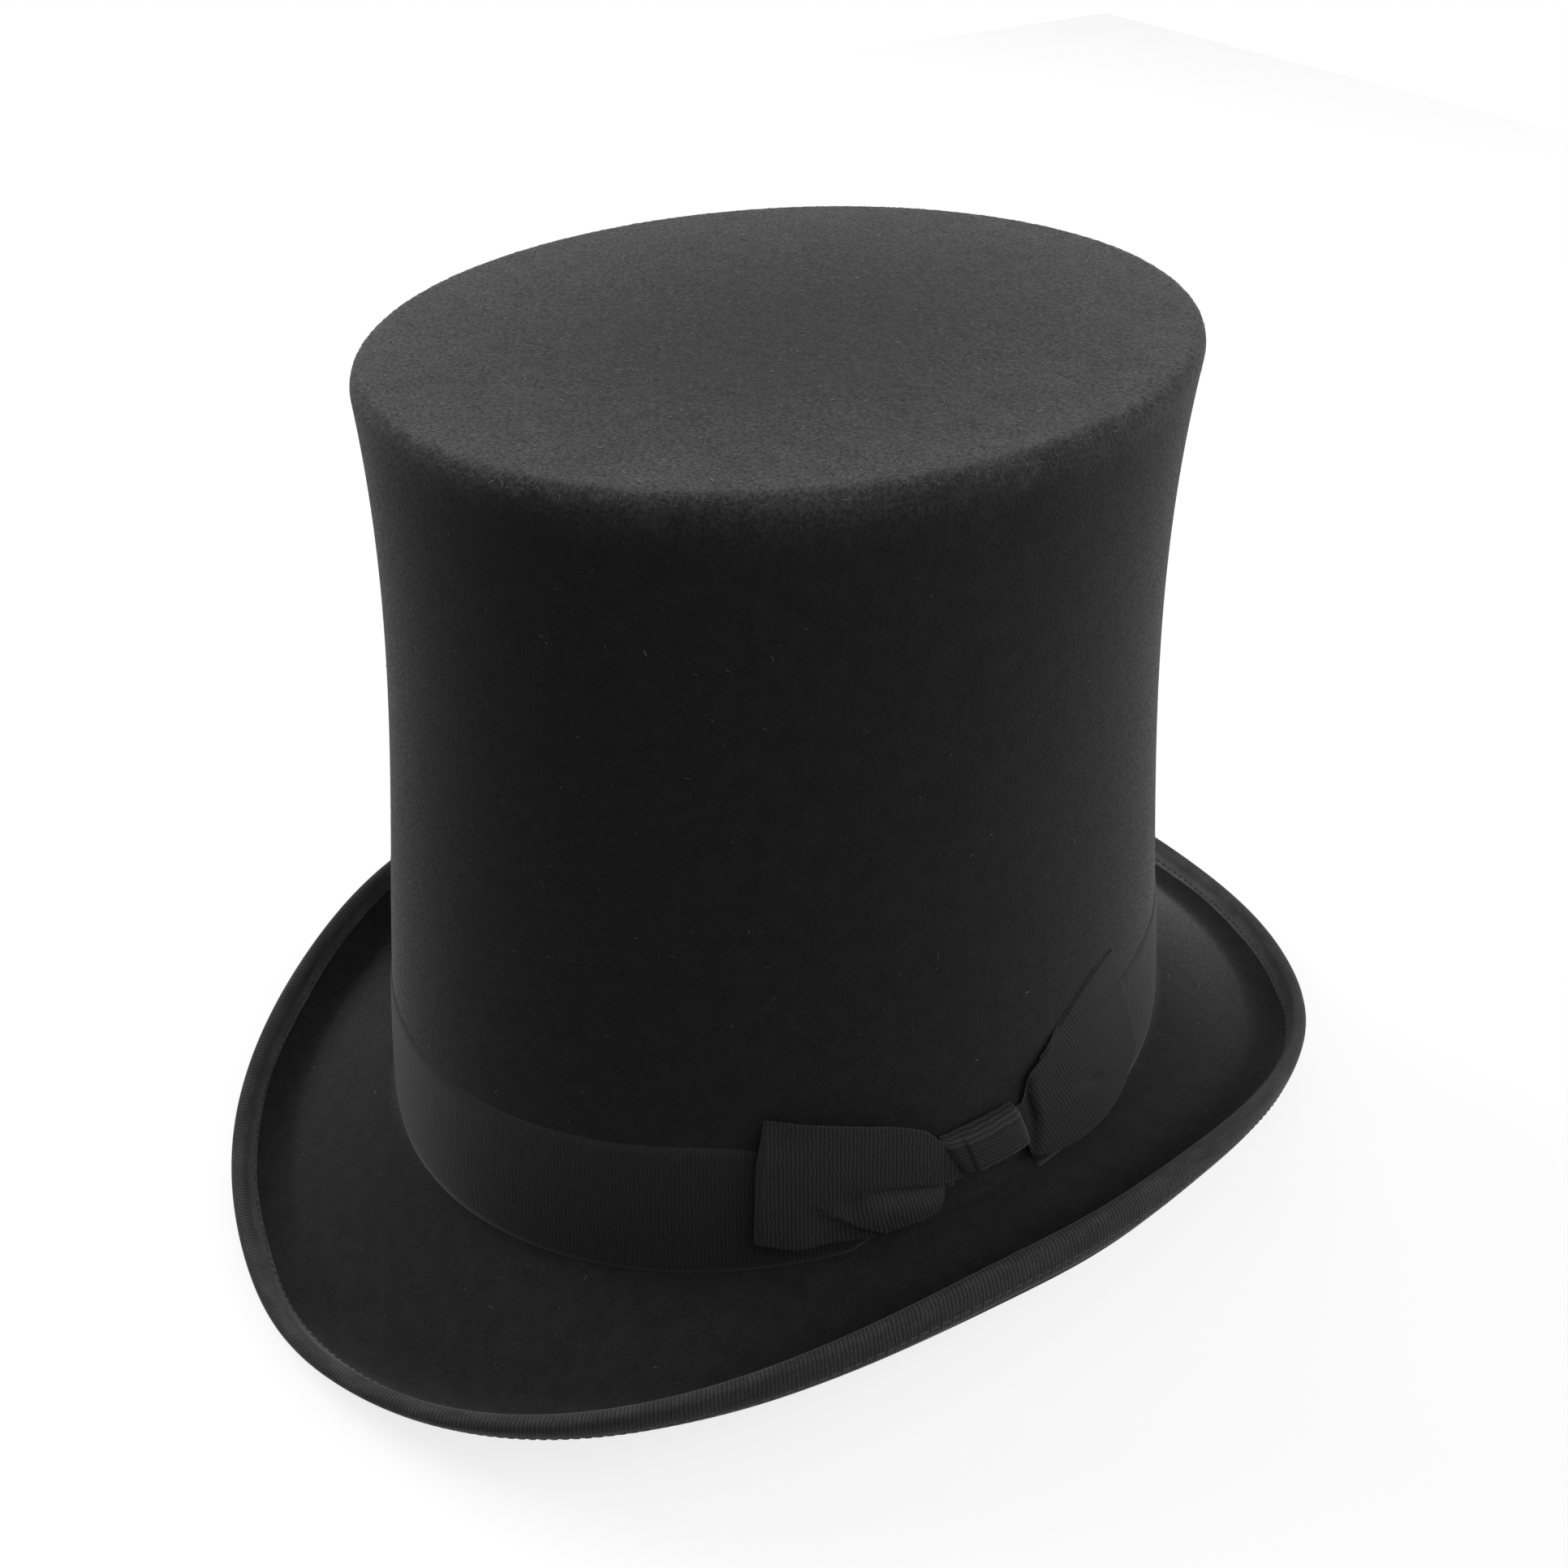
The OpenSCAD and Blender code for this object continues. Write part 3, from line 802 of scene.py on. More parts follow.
@dataclass(frozen=True)
class Satin(Finish):
    """Acetate satin: long floats along one way give a broad gloss that runs across the folds."""

    name: str = "black_acetate_satin"
    dark: str = "#161618"
    pale: str = "#2a2a2d"
    float_mm: Span = (0.4, 4.8)
    rough: Span = (0.25, 0.42)
    weave_strength: float = 0.4
    weave_deep_mm: float = 0.04
    sheen: float = 0.1

    def shade(self, tree: Tree) -> Links:
        """Draws the floats as a noise stretched along the cloth, which also roughens the gloss.

        Args:
            tree: nodes of the material.

        Returns:
            Inputs of the shader.
        """
        wide, long = self.float_mm
        along = add(tree, "Mapping", {"Vector": add(tree, "UVMap", uv_map="cloth"),
                                      "Scale": (1 / wide, 1 / long, 1.0)})
        floats = add(tree, "TexNoise", {"Vector": along, "Scale": 1.0, "Detail": 2.0}, noise_dimensions="2D")
        colour = add(tree, "Mix", {0: floats, 6: linear(self.dark), 7: linear(self.pale)}, data_type="RGBA")
        rough = add(tree, "MapRange", {"Value": floats, **limits("To", self.rough)})
        weave = add(tree, "Bump", {"Height": floats, "Strength": self.weave_strength,
                                   "Distance": self.weave_deep_mm * MM})
        return {"Base Color": colour, "Roughness": rough, "Normal": weave, "Sheen Weight": self.sheen}


@dataclass(frozen=True)
class Leather(Finish):
    """Vegetable-tanned sheepskin, dyed black, or oilcloth: fine pebbled grain with a low waxy gloss."""

    name: str = "black_sheepskin"
    dark: str = "#141110"
    pale: str = "#2b2523"
    grain_mm: float = 0.9
    grain_wide: float = 0.3
    grain_strength: float = 0.5
    grain_deep_mm: float = 0.06
    stain_mm: float = 14.0
    rough: Span = (0.38, 0.58)

    def shade(self, tree: Tree) -> Links:
        """Draws the grain from cells with darker creases between them, and slow stains from handling.

        Args:
            tree: nodes of the material.

        Returns:
            Inputs of the shader.
        """
        where = add(tree, "TexCoord").outputs["Object"]
        grain = add(tree, "TexVoronoi", {"Vector": where, "Scale": per_mm(self.grain_mm)},
                    feature="DISTANCE_TO_EDGE").outputs["Distance"]
        pebble = add(tree, "MapRange", {"Value": grain, "From Max": self.grain_wide})
        stain = add(tree, "TexNoise", {"Vector": where, "Scale": per_mm(self.stain_mm), "Detail": 4.0})
        level = add(tree, "Math", {0: pebble, 1: stain}, operation="MULTIPLY")
        colour = add(tree, "Mix", {0: level, 6: linear(self.dark), 7: linear(self.pale)}, data_type="RGBA")
        rough = add(tree, "MapRange", {"Value": stain, **limits("To", self.rough)})
        skin = add(tree, "Bump", {"Height": pebble, "Strength": self.grain_strength,
                                  "Distance": self.grain_deep_mm * MM})
        return {"Base Color": colour, "Roughness": rough, "Normal": skin}


@dataclass(frozen=True)
class Thread(Finish):
    """Mercerised cotton thread: a tight twist with a little lustre."""

    name: str = "black_cotton_thread"
    dark: str = "#1a1a1b"
    pale: str = "#4a4a4c"
    twist_mm: float = 0.33
    twist_strength: float = 0.6
    twist_deep_mm: float = 0.08
    rough: float = 0.6

    def shade(self, tree: Tree) -> Links:
        """Mottles the thread at the pitch of its twist.

        Args:
            tree: nodes of the material.

        Returns:
            Inputs of the shader.
        """
        where = add(tree, "TexCoord").outputs["Object"]
        twist = add(tree, "TexNoise", {"Vector": where, "Scale": per_mm(self.twist_mm), "Detail": 1.0})
        colour = add(tree, "Mix", {0: twist, 6: linear(self.dark), 7: linear(self.pale)}, data_type="RGBA")
        ply = add(tree, "Bump", {"Height": twist, "Strength": self.twist_strength,
                                 "Distance": self.twist_deep_mm * MM})
        return {"Base Color": colour, "Normal": ply, "Roughness": self.rough}


def dress(piece: Piece, finish: Material, slot: str, *nodes: str) -> Piece:
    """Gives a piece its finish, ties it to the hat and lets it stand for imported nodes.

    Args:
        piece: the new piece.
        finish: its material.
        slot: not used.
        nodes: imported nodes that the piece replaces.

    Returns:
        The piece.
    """
    piece.data.materials.append(finish)
    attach(piece, "root")
    if nodes:
        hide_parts(*nodes)
    log.info("%s: %d faces", piece.name, len(piece.data.polygons))
    return piece


@dataclass
class FeltBody:
    """Crown and brim, blocked from one hood of felt."""

    block: Block
    columns: int = 384
    tip_rings: int = 30
    edge_rings: int = 12
    side_rings: int = 56
    brim_rings: int = 44
    rim_rings: int = 7
    inner_rings: int = 18
    inner_edge_rings: int = 5
    inner_tip_rings: int = 6
    # Power that sets the brim's rings closer towards the rim, where it curls.
    brim_crowding: float = 0.8
    tip_dish: float = 0.5
    # Painted light on the tip, its edge and the top of the side: paler felt standing for the light on the
    # top.
    tip_painted_light: Span = (0.0, 0.66)
    edge_painted_light: float = 0.4
    side_painted_light: float = 0.05
    # Rings of the side over which the painted light of the edge and of the side dies away.
    edge_fade: float = 0.7
    side_fade: float = 14.0
    fibre_count: int = 15000
    # Fibres lie thickest on the tip and towards its edge, and few on the shaded side: lint, and painted light
    # of the top.
    tip_fibres: Span = (0.12, 1.0)
    side_fibres: float = 0.003
    brim_fibres: float = 0.004
    bare_rings: int = 6
    # Least length, width and lift of a fibre, and how much more each may have; its bow to either side.
    fibre_long: Span = (0.4, 1.4)
    fibre_wide: Span = (0.05, 0.09)
    fibre_lift: Span = (0.02, 0.14)
    fibre_bow: float = 0.4
    fibre_off: float = 0.03
    # Point inside the hat, which the outer face of the felt looks away from.
    heart: Triple = (0.0, 0.0, 60.0)
    seed: int = 11

    def disc(self, edge: Array, f: Array, middle: Array) -> Array:
        """Draws rings in from an edge, dished by the square of one less the square of their share of the way.

        Args:
            edge: one row of points round the edge.
            f: share of the way out to the edge of each ring, from 0 to 1.
            middle: point in the middle.

        Returns:
            Rows of points.
        """
        rings = edge * f + middle * (1 - f)
        rings[..., 2] -= self.tip_dish * (1 - f[..., 0] ** 2) ** 2
        return rings

    def section(self, a: Array) -> Array:
        """Follows the felt from the middle of the tip over its edge, down the side, along the brim and back.

        The tip is flat but for a shallow dish. Its edge is a quarter circle, the rim a half circle, and the
        inner faces lie the felt's thickness in.

        Args:
            a: angles round the crown.

        Returns:
            Rows of points from the outer pole to the inner one.
        """
        b, half = self.block, self.block.felt_t / 2
        side_top = b.crown_h - b.tip_edge_r
        u = np.linspace(QUARTER, 0, self.edge_rings)[:, None]
        edge = b.side(a, side_top + b.tip_edge_r * np.sin(u), b.tip_edge_r * (1 - np.cos(u)))
        tip = self.disc(edge[:1], np.linspace(0, 1, self.tip_rings)[:-1, None, None], b.axis_at(b.crown_h))
        k = np.linspace(0, 1, self.side_rings)[1:, None]
        side = b.side(a, side_top + (b.foot_h(a) - side_top) * k, np.zeros_like(k))
        w = b.brim_w(a) - half
        reach = np.linspace(0, 1, self.brim_rings)[1:, None] ** self.brim_crowding * w
        turn = np.linspace(QUARTER, -QUARTER, self.rim_rings)[1:-1, None]
        rim = b.brim(a, w + half * np.cos(turn), half * np.sin(turn))
        upper, lower = b.brim(a, reach, half), b.brim(a, reach[::-1], -half)
        foot = b.brim(a, np.zeros((1, 1)), -half)
        inner_low = b.break_h(a) + half
        m = np.linspace(0, 1, self.inner_rings)[:, None]
        inner = b.side(a, inner_low + (side_top - inner_low) * m, b.felt_t)
        r = b.tip_edge_r - b.felt_t
        v = np.linspace(0, QUARTER, self.inner_edge_rings)[1:, None]
        inner_edge = b.side(a, side_top + r * np.sin(v), b.tip_edge_r - r * np.cos(v))
        g = np.linspace(1, 0, self.inner_tip_rings)[1:, None, None]
        inner_tip = self.disc(inner_edge[-1:], g, b.axis_at(side_top + r))
        return np.concatenate([tip, edge, side, upper, rim, lower, foot, inner, inner_edge, inner_tip])

    def build(self, finish: Material) -> Piece:
        """Lays the felt as one closed shell, with its cloth measured round and along the section.

        Args:
            finish: the felt.

        Returns:
            The crown and brim.
        """
        points = self.section(angles(self.columns))
        u = np.arange(self.columns + 1) * TURN / self.columns * self.block.half_l
        cloth = np.stack(np.meshgrid(u, run_along(points[:, 0])), -1)
        piece = lay_shell("felt_crown_and_brim", points, cloth, self.painted_light_rows(len(points)))
        return dress(piece, finish, "felt", "felt_body")

    def painted_light_rows(self, rows: int) -> Array:
        """Tells how much painted light each row has: rising to the tip's edge by its square, then dying away.

        Args:
            rows: number of rows in the section.

        Returns:
            Painted light of each row, from 0 to 1.
        """
        painted_light = np.zeros(rows)
        tip, edge, side = self.tip_rings - 1, self.edge_rings, self.side_rings - 1
        rim = self.tip_painted_light[1]
        painted_light[:tip] = between(np.linspace(0, 1, self.tip_rings)[:-1] ** 2, self.tip_painted_light)
        painted_light[tip:tip + edge] = between(ease(np.linspace(0, 2, edge)), (rim, self.edge_painted_light))
        down = np.arange(1, side + 1)
        fading = self.edge_painted_light * np.exp(-down / self.edge_fade)
        painted_light[tip + edge:tip + edge + side] = fading + self.side_painted_light * np.exp(-down / self.side_fade)
        return painted_light

    def fibres(self, finish: Material) -> Piece:
        """Strews loose fibres over the outer face of the felt, most of them on the tip.

        A fibre's place is a random row and column of the section, drawn by the area of its patch and by how
        thickly that part of the hat is strewn. The patch's slopes give its directions. Powers of the chances
        make most fibres short, thin and grey.

        Args:
            finish: material of the fibres.

        Returns:
            The fibres as one piece.
        """
        draw = np.random.default_rng(self.seed)
        a = np.arange(self.columns + 1) * TURN / self.columns
        tip, side = self.tip_rings + self.edge_rings // 2, self.side_rings + self.edge_rings // 2 - 2
        grid = self.section(a)[:tip + side + self.brim_rings - self.bare_rings]
        across, down = np.diff(grid, axis=1)[:-1], np.diff(grid, axis=0)[:, :-1]
        face = np.cross(across, down)
        thick = np.full(len(face), self.brim_fibres)
        thick[:tip] = between(np.linspace(0, 1, tip) ** 2, self.tip_fibres)
        thick[tip:tip + side] = self.side_fibres
        share = np.linalg.norm(face, axis=-1) * thick[:, None]
        pick = draw.choice(share.size, self.fibre_count, p=(share / share.sum()).ravel())
        row, column = np.divmod(pick, self.columns)
        f, g = draw.random((2, self.fibre_count, 1))
        at = grid[row, column] + across[row, column] * f + down[row, column] * g
        out = unit(face[row, column])
        out *= np.sign(np.sum(out * (at - self.heart), axis=1, keepdims=True))
        turn = draw.random((self.fibre_count, 1)) * TURN
        level = unit(across[row, column])
        way = level * np.cos(turn) + np.cross(out, level) * np.sin(turn)
        chance = draw.random((4, self.fibre_count))
        size = np.stack([self.fibre_long[0] + self.fibre_long[1] * chance[0] ** 2,
                         self.fibre_wide[0] + self.fibre_wide[1] * chance[1] ** 3,
                         self.fibre_bow * (chance[2] - 0.5),
                         self.fibre_lift[0] + self.fibre_lift[1] * chance[3]], 1)
        shade = draw.random(self.fibre_count) ** 4
        piece = lay_fibres("felt_loose_fibres", at + out * self.fibre_off, way, out, size, shade)
        return dress(piece, finish, "felt")


@dataclass
class Binding:
    """Ribbon folded over the rim, with a line of stitches through both sides."""

    block: Block
    upper_w: float = 6.0
    lower_w: float = 7.5
    rim_w: float = 2.0
    columns: int = 1360
    face_lines: int = 12
    rim_lines: int = 11
    measured: int = 4001
    stitch_in: float = 5.0
    stitch_pitch: float = 2.5
    stitch_size: Triple = (1.7, 0.42, 0.34)
    pucker: float = 0.16
    pucker_w: float = 1.3
    # Unevenness of the sewn edges, as waves round the rim and their height, and where each edge starts.
    sewn: Knots = ((5, 0.28), (11, 0.2), (23, 0.14))
    upper_start: float = 0.7
    lower_start: float = 2.9

    def rim_angles(self, count: int) -> tuple[Array, Array]:
        """Spaces angles evenly along the rim.

        Args:
            count: number of angles.

        Returns:
            The angles, and the length along the rim to each and once round.
        """
        a = np.linspace(0, TURN, self.measured)
        length = run_along(self.block.brim(a, self.block.brim_w(a), 0.0))
        at = np.arange(count + 1) / count * length[-1]
        return np.interp(at[:-1], length, a), at

    def waver(self, a: Array, start: float) -> Array:
        """How unevenly an edge was sewn: three sines round the rim."""
        return waves(a, [(count, (k + 1) * start, high) for k, (count, high) in enumerate(self.sewn)])

    def middle(self, a: Array, length: Array) -> Array:
        """Follows the middle of the folded ribbon: along the upper face, round the rim and along the lower.

        Between two stitches the ribbon swells a little, so its distance from the felt follows the square of
        a sine at the pitch of the stitches, dying away from the line of stitching.

        Args:
            a: angles round the rim.
            length: length along the rim to each angle.

        Returns:
            Points as rows across the ribbon, one column an angle.
        """
        b = self.block
        half, far = b.felt_t / 2, b.felt_t / 2 + b.fit_gap + b.ribbon_t / 2
        k = np.linspace(0, 1, self.face_lines)[:, None]
        upper = -(self.upper_w + self.waver(a, self.upper_start)) * (1 - k) - half * k
        lower = -half * (1 - k) - (self.lower_w + self.waver(a, self.lower_start)) * k
        turn = np.linspace(QUARTER, -QUARTER, self.rim_lines)[1:-1, None]
        round_rim = np.broadcast_to(far * np.cos(turn) - half, (turn.size, a.size))
        x = np.concatenate([upper, round_rim, lower])
        lift = np.concatenate([np.ones_like(k), np.sin(turn), -np.ones_like(k)])
        swell = self.pucker * np.sin(np.pi * length / self.stitch_pitch) ** 2
        near = np.exp(-((x + self.stitch_in) / self.pucker_w) ** 2)
        edges = np.concatenate([(1 - k) ** 3, np.zeros_like(turn), k ** 3])
        pressed = (b.fit_gap + b.ribbon_t / 3) * edges
        return b.brim(a, b.brim_w(a) + x, lift * (far - pressed + near * (swell - self.pucker)))

    def stitches(self, length: float, finish: Material) -> Piece:
        """Lays the stitches on both faces, in a line along the rim.

        Args:
            length: length of the rim.
            finish: thread of the stitches.

        Returns:
            The stitches as one piece.
        """
        b = self.block
        at, _ = self.rim_angles(round(length / self.stitch_pitch))
        far = b.felt_t / 2 + b.fit_gap + b.ribbon_t - self.pucker
        along, beyond = (b.brim_w(x) - self.stitch_in for x in (at, at + NUDGE))
        places, ways, outs = [], [], []
        for face in (1, -1):
            place = b.brim(at, along, face * far)
            places.append(place)
            ways.append(b.brim(at + NUDGE, beyond, face * far) - place)
            outs.append(b.brim(at, along, face * (far + 1)) - place)
        spots = (np.concatenate(x) for x in (places, ways, outs))
        piece = lay_stitches("brim_binding_stitches", *spots, self.stitch_size)
        return dress(piece, finish, "binding_ribbon")

    def build(self, finish: Material, thread: Material) -> list[Piece]:
        """Lays the binding and its stitches on both faces.

        Args:
            finish: ribbon of the binding.
            thread: thread of the stitches.

        Returns:
            The binding and its stitches.
        """
        a, length = self.rim_angles(self.columns)
        rows = self.middle(a, length[:-1])
        across = np.linspace(0, self.upper_w + self.lower_w + self.rim_w, len(rows))
        hoop = lay_hoop("brim_binding_ribbon", rows, length[-1], across, self.block.ribbon_t)
        ribbon = dress(hoop, finish, "binding_ribbon", "brim_binding")
        stitches = self.stitches(length[-1], thread)
        return [ribbon, stitches]


@dataclass
class Band:
    """Ribbon round the foot of the crown, drawn together behind the knot of the bow."""

    block: Block
    columns: int = 1080
    rows: int = 16
    off_felt: float = 0.2
    thickness: float = 0.3
    drawn: float = 12.5
    drawn_front: Span = (-72.0, -11.0)
    drawn_rear: Span = (11.0, 20.0)
    raised: float = 14.0
    raised_front: Span = (-37.0, -12.0)
    raised_rear: Span = (9.0, 17.0)
    slack: float = 0.1
    slack_wave: Triple = (9, 1.0, 1.0)
    length: float = 610.0

    def gathered(self, a: Array, front: Span, rear: Span) -> Array:
        """Gives the share that an edge is drawn in behind the knot: up over one stretch, down over the other.

        Args:
            a: angles round the crown.
            front: start and end of the front stretch, along the band behind the middle of the side.
            rear: start and end of the rear stretch.

        Returns:
            Share at each angle, from 0 to 1.
        """
        s = (np.mod(a + np.pi, TURN) - np.pi) * self.block.half_l
        return ramp(s, front) * (1 - ramp(s, rear))

    def build(self, finish: Material) -> Piece:
        """Lays the band on the side from just above the brim, slack along its middle, its edges on the felt.

        Args:
            finish: ribbon of the band.

        Returns:
            The band.
        """
        b = self.block
        a = angles(self.columns)
        v = np.linspace(0, 1, self.rows)[:, None]
        slack = self.slack * (1 + waves(a, [self.slack_wave])) * (1 - np.abs(2 * v - 1))
        low = self.raised * self.gathered(a, self.raised_front, self.raised_rear)
        high = b.ribbon_w - self.drawn * self.gathered(a, self.drawn_front, self.drawn_rear)
        off = self.off_felt * (np.abs(2 * v - 1) < 1)
        points = b.side(a, b.foot_h(a) + b.fit_gap + low + v * (high - low), -off - slack)
        hoop = lay_hoop("hat_band_ribbon", points, self.length, v[:, 0] * b.ribbon_w, self.thickness)
        piece = dress(hoop, finish, "band_ribbon", "hat_band")
        return piece


@dataclass(frozen=True)
class Bump:
    """A small swelling of a ribbon, or a dent where its height is below nothing.

    It has its place as s and h, its spreads along and up, its height and the slope of its long axis.
    """

    s: float
    h: float
    long: float
    tall: float
    high: float
    slope: float = 0.0

    def at(self, s: Array, h: Array) -> Array:
        """Height of a bell: its top times e to minus the squares of both distances over their spreads."""
        along, up = s - self.s, h - self.h - self.slope * (s - self.s)
        return self.high * np.exp(-(along / self.long) ** 2 - (up / self.tall) ** 2)


@dataclass
class FrontLoop:
    """Pleated loop of the bow in front of the knot.

    Places on the bow are given as s, the length along the band behind the middle of the side, h, the height
    above the brim, and out, the distance from the crown's outer face. Lines are points of (s, h) or (s, out).
    """

    block: Block
    top: Knots = ((-60, 45.4), (-54.8, 45.5), (-46.8, 45.3), (-33.1, 42.1), (-21.8, 37.6), (-18.6, 35.4),
                  (-15, 31), (-11, 28.6), (-5, 27.5))
    low: Knots = ((-60, 13.6), (-57.1, 13), (-49.1, 10.8), (-42.6, 9.8), (-34.1, 8.7), (-27.9, 8.9),
                  (-21.6, 9.3), (-17.5, 10), (-15.2, 11.4), (-13.4, 13.4), (-12, 15.2), (-10.7, 16.4),
                  (-5, 17.2))
    stand: Knots = ((-57, 4.5), (-46, 5.1), (-30, 5.2), (-18, 4.9), (-12, 4.3), (-5, 4.0))
    pleat: Knots = ((-36, 22.3), (-32, 22.7), (-28, 22.3), (-20.4, 20.1), (-10.7, 16.6), (-5, 17))
    tuck: Knots = ((-49.4, 21.3), (-42.6, 18.3), (-37.8, 15.1), (-34.1, 12.5), (-27.9, 8.5))
    tuck_end: float = -28.0
    fold_s: float = -55.9
    fold_lean: float = 1.25
    end_s: float = -5.5
    thickness: float = 0.3
    lines: int = 180
    fold_lines: int = 14
    inner_lines: int = 32
    across: int = 112
    # Valley of the pleat: its depth, its width below and above the crease, and where it deepens.
    valley_deep: float = 2.5
    valley_w: Span = (3.6, 0.45)
    valley_s: Span = (-35.0, -26.0)
    bumps: Sequence[Bump] = (Bump(-36, 20.5, 3.2, 4.2, -1.0), Bump(-23, 14.5, 8, 3.6, 0.4))
    # Strip behind the tuck: how far back it steps, where it begins and ends, and how softly it steps.
    strip_deep: float = 1.7
    strip_begin: Span = (-49.0, -39.0)
    strip_end: Span = (-25.0, -16.0)
    strip_soft: Span = (5.0, 1.6)
    strip_soft_s: Span = (-49.0, -35.0)
    # Rounded end of the lobe below the pleat: its s and h, how it bows, its radius, depth and first s.
    lobe_end: Span = (-12.0, 14.5)
    lobe_bow: float = 0.12
    lobe_r: float = 2.6
    lobe_deep: float = 3.0
    lobe_from: float = -20.0
    # Upper corner at the fold, pressed flat: how far, about which s, over what spread and from what height.
    corner_deep: float = 2.3
    corner_s: float = -57.0
    corner_w: float = 8.0
    corner_h: Span = (34.0, 45.0)
    # Inner layer: its distance out, its drop at the top, its end, and its lower edge and width to there.
    inner_out: float = 1.7
    inner_drop: float = 1.8
    inner_end: float = -10.0
    inner_low: Span = (12.0, 13.0)
    inner_w: Span = (26.0, 16.0)
    inner_quick: float = 2.5
    # Cloth: length in the fold, the s that the inner layer is counted back from, and the lobe's slant.
    fold_cloth: float = 6.0
    back_s: float = -60.0
    slant: float = 0.2
    slant_s: Span = (-46.0, -18.0)

    def stands(self, s: Array, h: Array) -> Array:
        """Measures how far the outer layer stands from the crown.

        A pleat runs from the knot towards the fold: a narrow valley that deepens towards the knot. Below it
        the ribbon swells into a lobe with a rounded end. A second tuck steps the lowest strip back behind it.

        Args:
            s: length along the band.
            h: height above the brim.

        Returns:
            Distance out from the crown's outer face.
        """
        crease = through(s, self.pleat)
        below = crease - h
        valley = np.exp(-(below / np.where(below > 0, *self.valley_w)) ** 2) * ramp(s, self.valley_s)
        out = through(s, self.stand) - self.valley_deep * valley + sum(bump.at(s, h) for bump in self.bumps)
        strip = ramp(s, self.strip_begin) * (1 - ramp(s, self.strip_end))
        over = h - np.where(s < self.tuck_end, through(s, self.tuck), through(s, self.low))
        soft = between(ramp(s, self.strip_soft_s), self.strip_soft)
        back = self.strip_deep * strip * (1 - ease(over / soft))
        end = np.maximum(self.lobe_end[0] - s - self.lobe_bow * (h - self.lobe_end[1]) ** 2, 0)
        on_lobe = (h < crease) & (s > self.lobe_from)
        turned = np.where(on_lobe, self.lobe_deep * (1 - rounded(end, self.lobe_r)), 0)
        corner = np.exp(-((s - self.corner_s) / self.corner_w) ** 2) * ramp(h, self.corner_h)
        return out - back - turned - self.corner_deep * corner

    def build(self, finish: Material) -> Piece:
        """Lays the inner layer out from the knot, the fold, and the pleated outer layer back.

        The inner layer falls away below the outer one behind the fold, so that the loop shows no opening.

        Args:
            finish: ribbon of the bow.

        Returns:
            The loop.
        """
        b = self.block
        v = np.linspace(0, 1, self.across)[None, :]
        u = np.linspace(0, 1, self.lines)[:, None]
        s = (self.fold_s + self.fold_lean * v) * (1 - u) + self.end_s * u
        low, high = through(s, self.low), through(s, self.top)
        h = low + (high - low) * v
        out = self.stands(s, h)
        turn = np.linspace(0, np.pi, self.fold_lines)[1:-1, None]
        radius = (out[:1] - self.inner_out) / 2
        dropped = self.inner_drop * v ** 4
        fold_h = h[:1] - dropped * (1 - np.cos(turn)) / 2
        fold = b.beside(s[:1] - radius * np.sin(turn), out[:1] - radius * (1 - np.cos(turn)), fold_h)
        k = np.linspace(0, 1, self.inner_lines)[:, None]
        inner_s = s[:1] * (1 - k) + self.inner_end * k
        narrowed = between(k, self.inner_low) + between(k, self.inner_w) * v
        inner_h = h[:1] - dropped + (narrowed - h[:1]) * ease(self.inner_quick * k)
        inner = b.beside(inner_s, np.full_like(inner_s, self.inner_out), inner_h)
        points = np.concatenate([inner[::-1], fold[::-1], b.beside(s, out, h)])
        bent = np.broadcast_to(s[:1] + self.fold_cloth * (turn / np.pi - 2), fold.shape[:2])
        under = np.minimum(h - through(s, self.pleat), 0) * ramp(s, self.slant_s)
        along = np.concatenate([2 * self.back_s - inner_s[::-1], bent[::-1], s + self.slant * under])
        across = np.concatenate([inner_h[::-1], fold_h[::-1], h])
        ribbon = lay_ribbon("bow_front_loop_ribbon", points, np.stack([along, across], -1), self.thickness)
        piece = dress(ribbon, finish, "bow_ribbon", "bow_front_loop")
        return piece


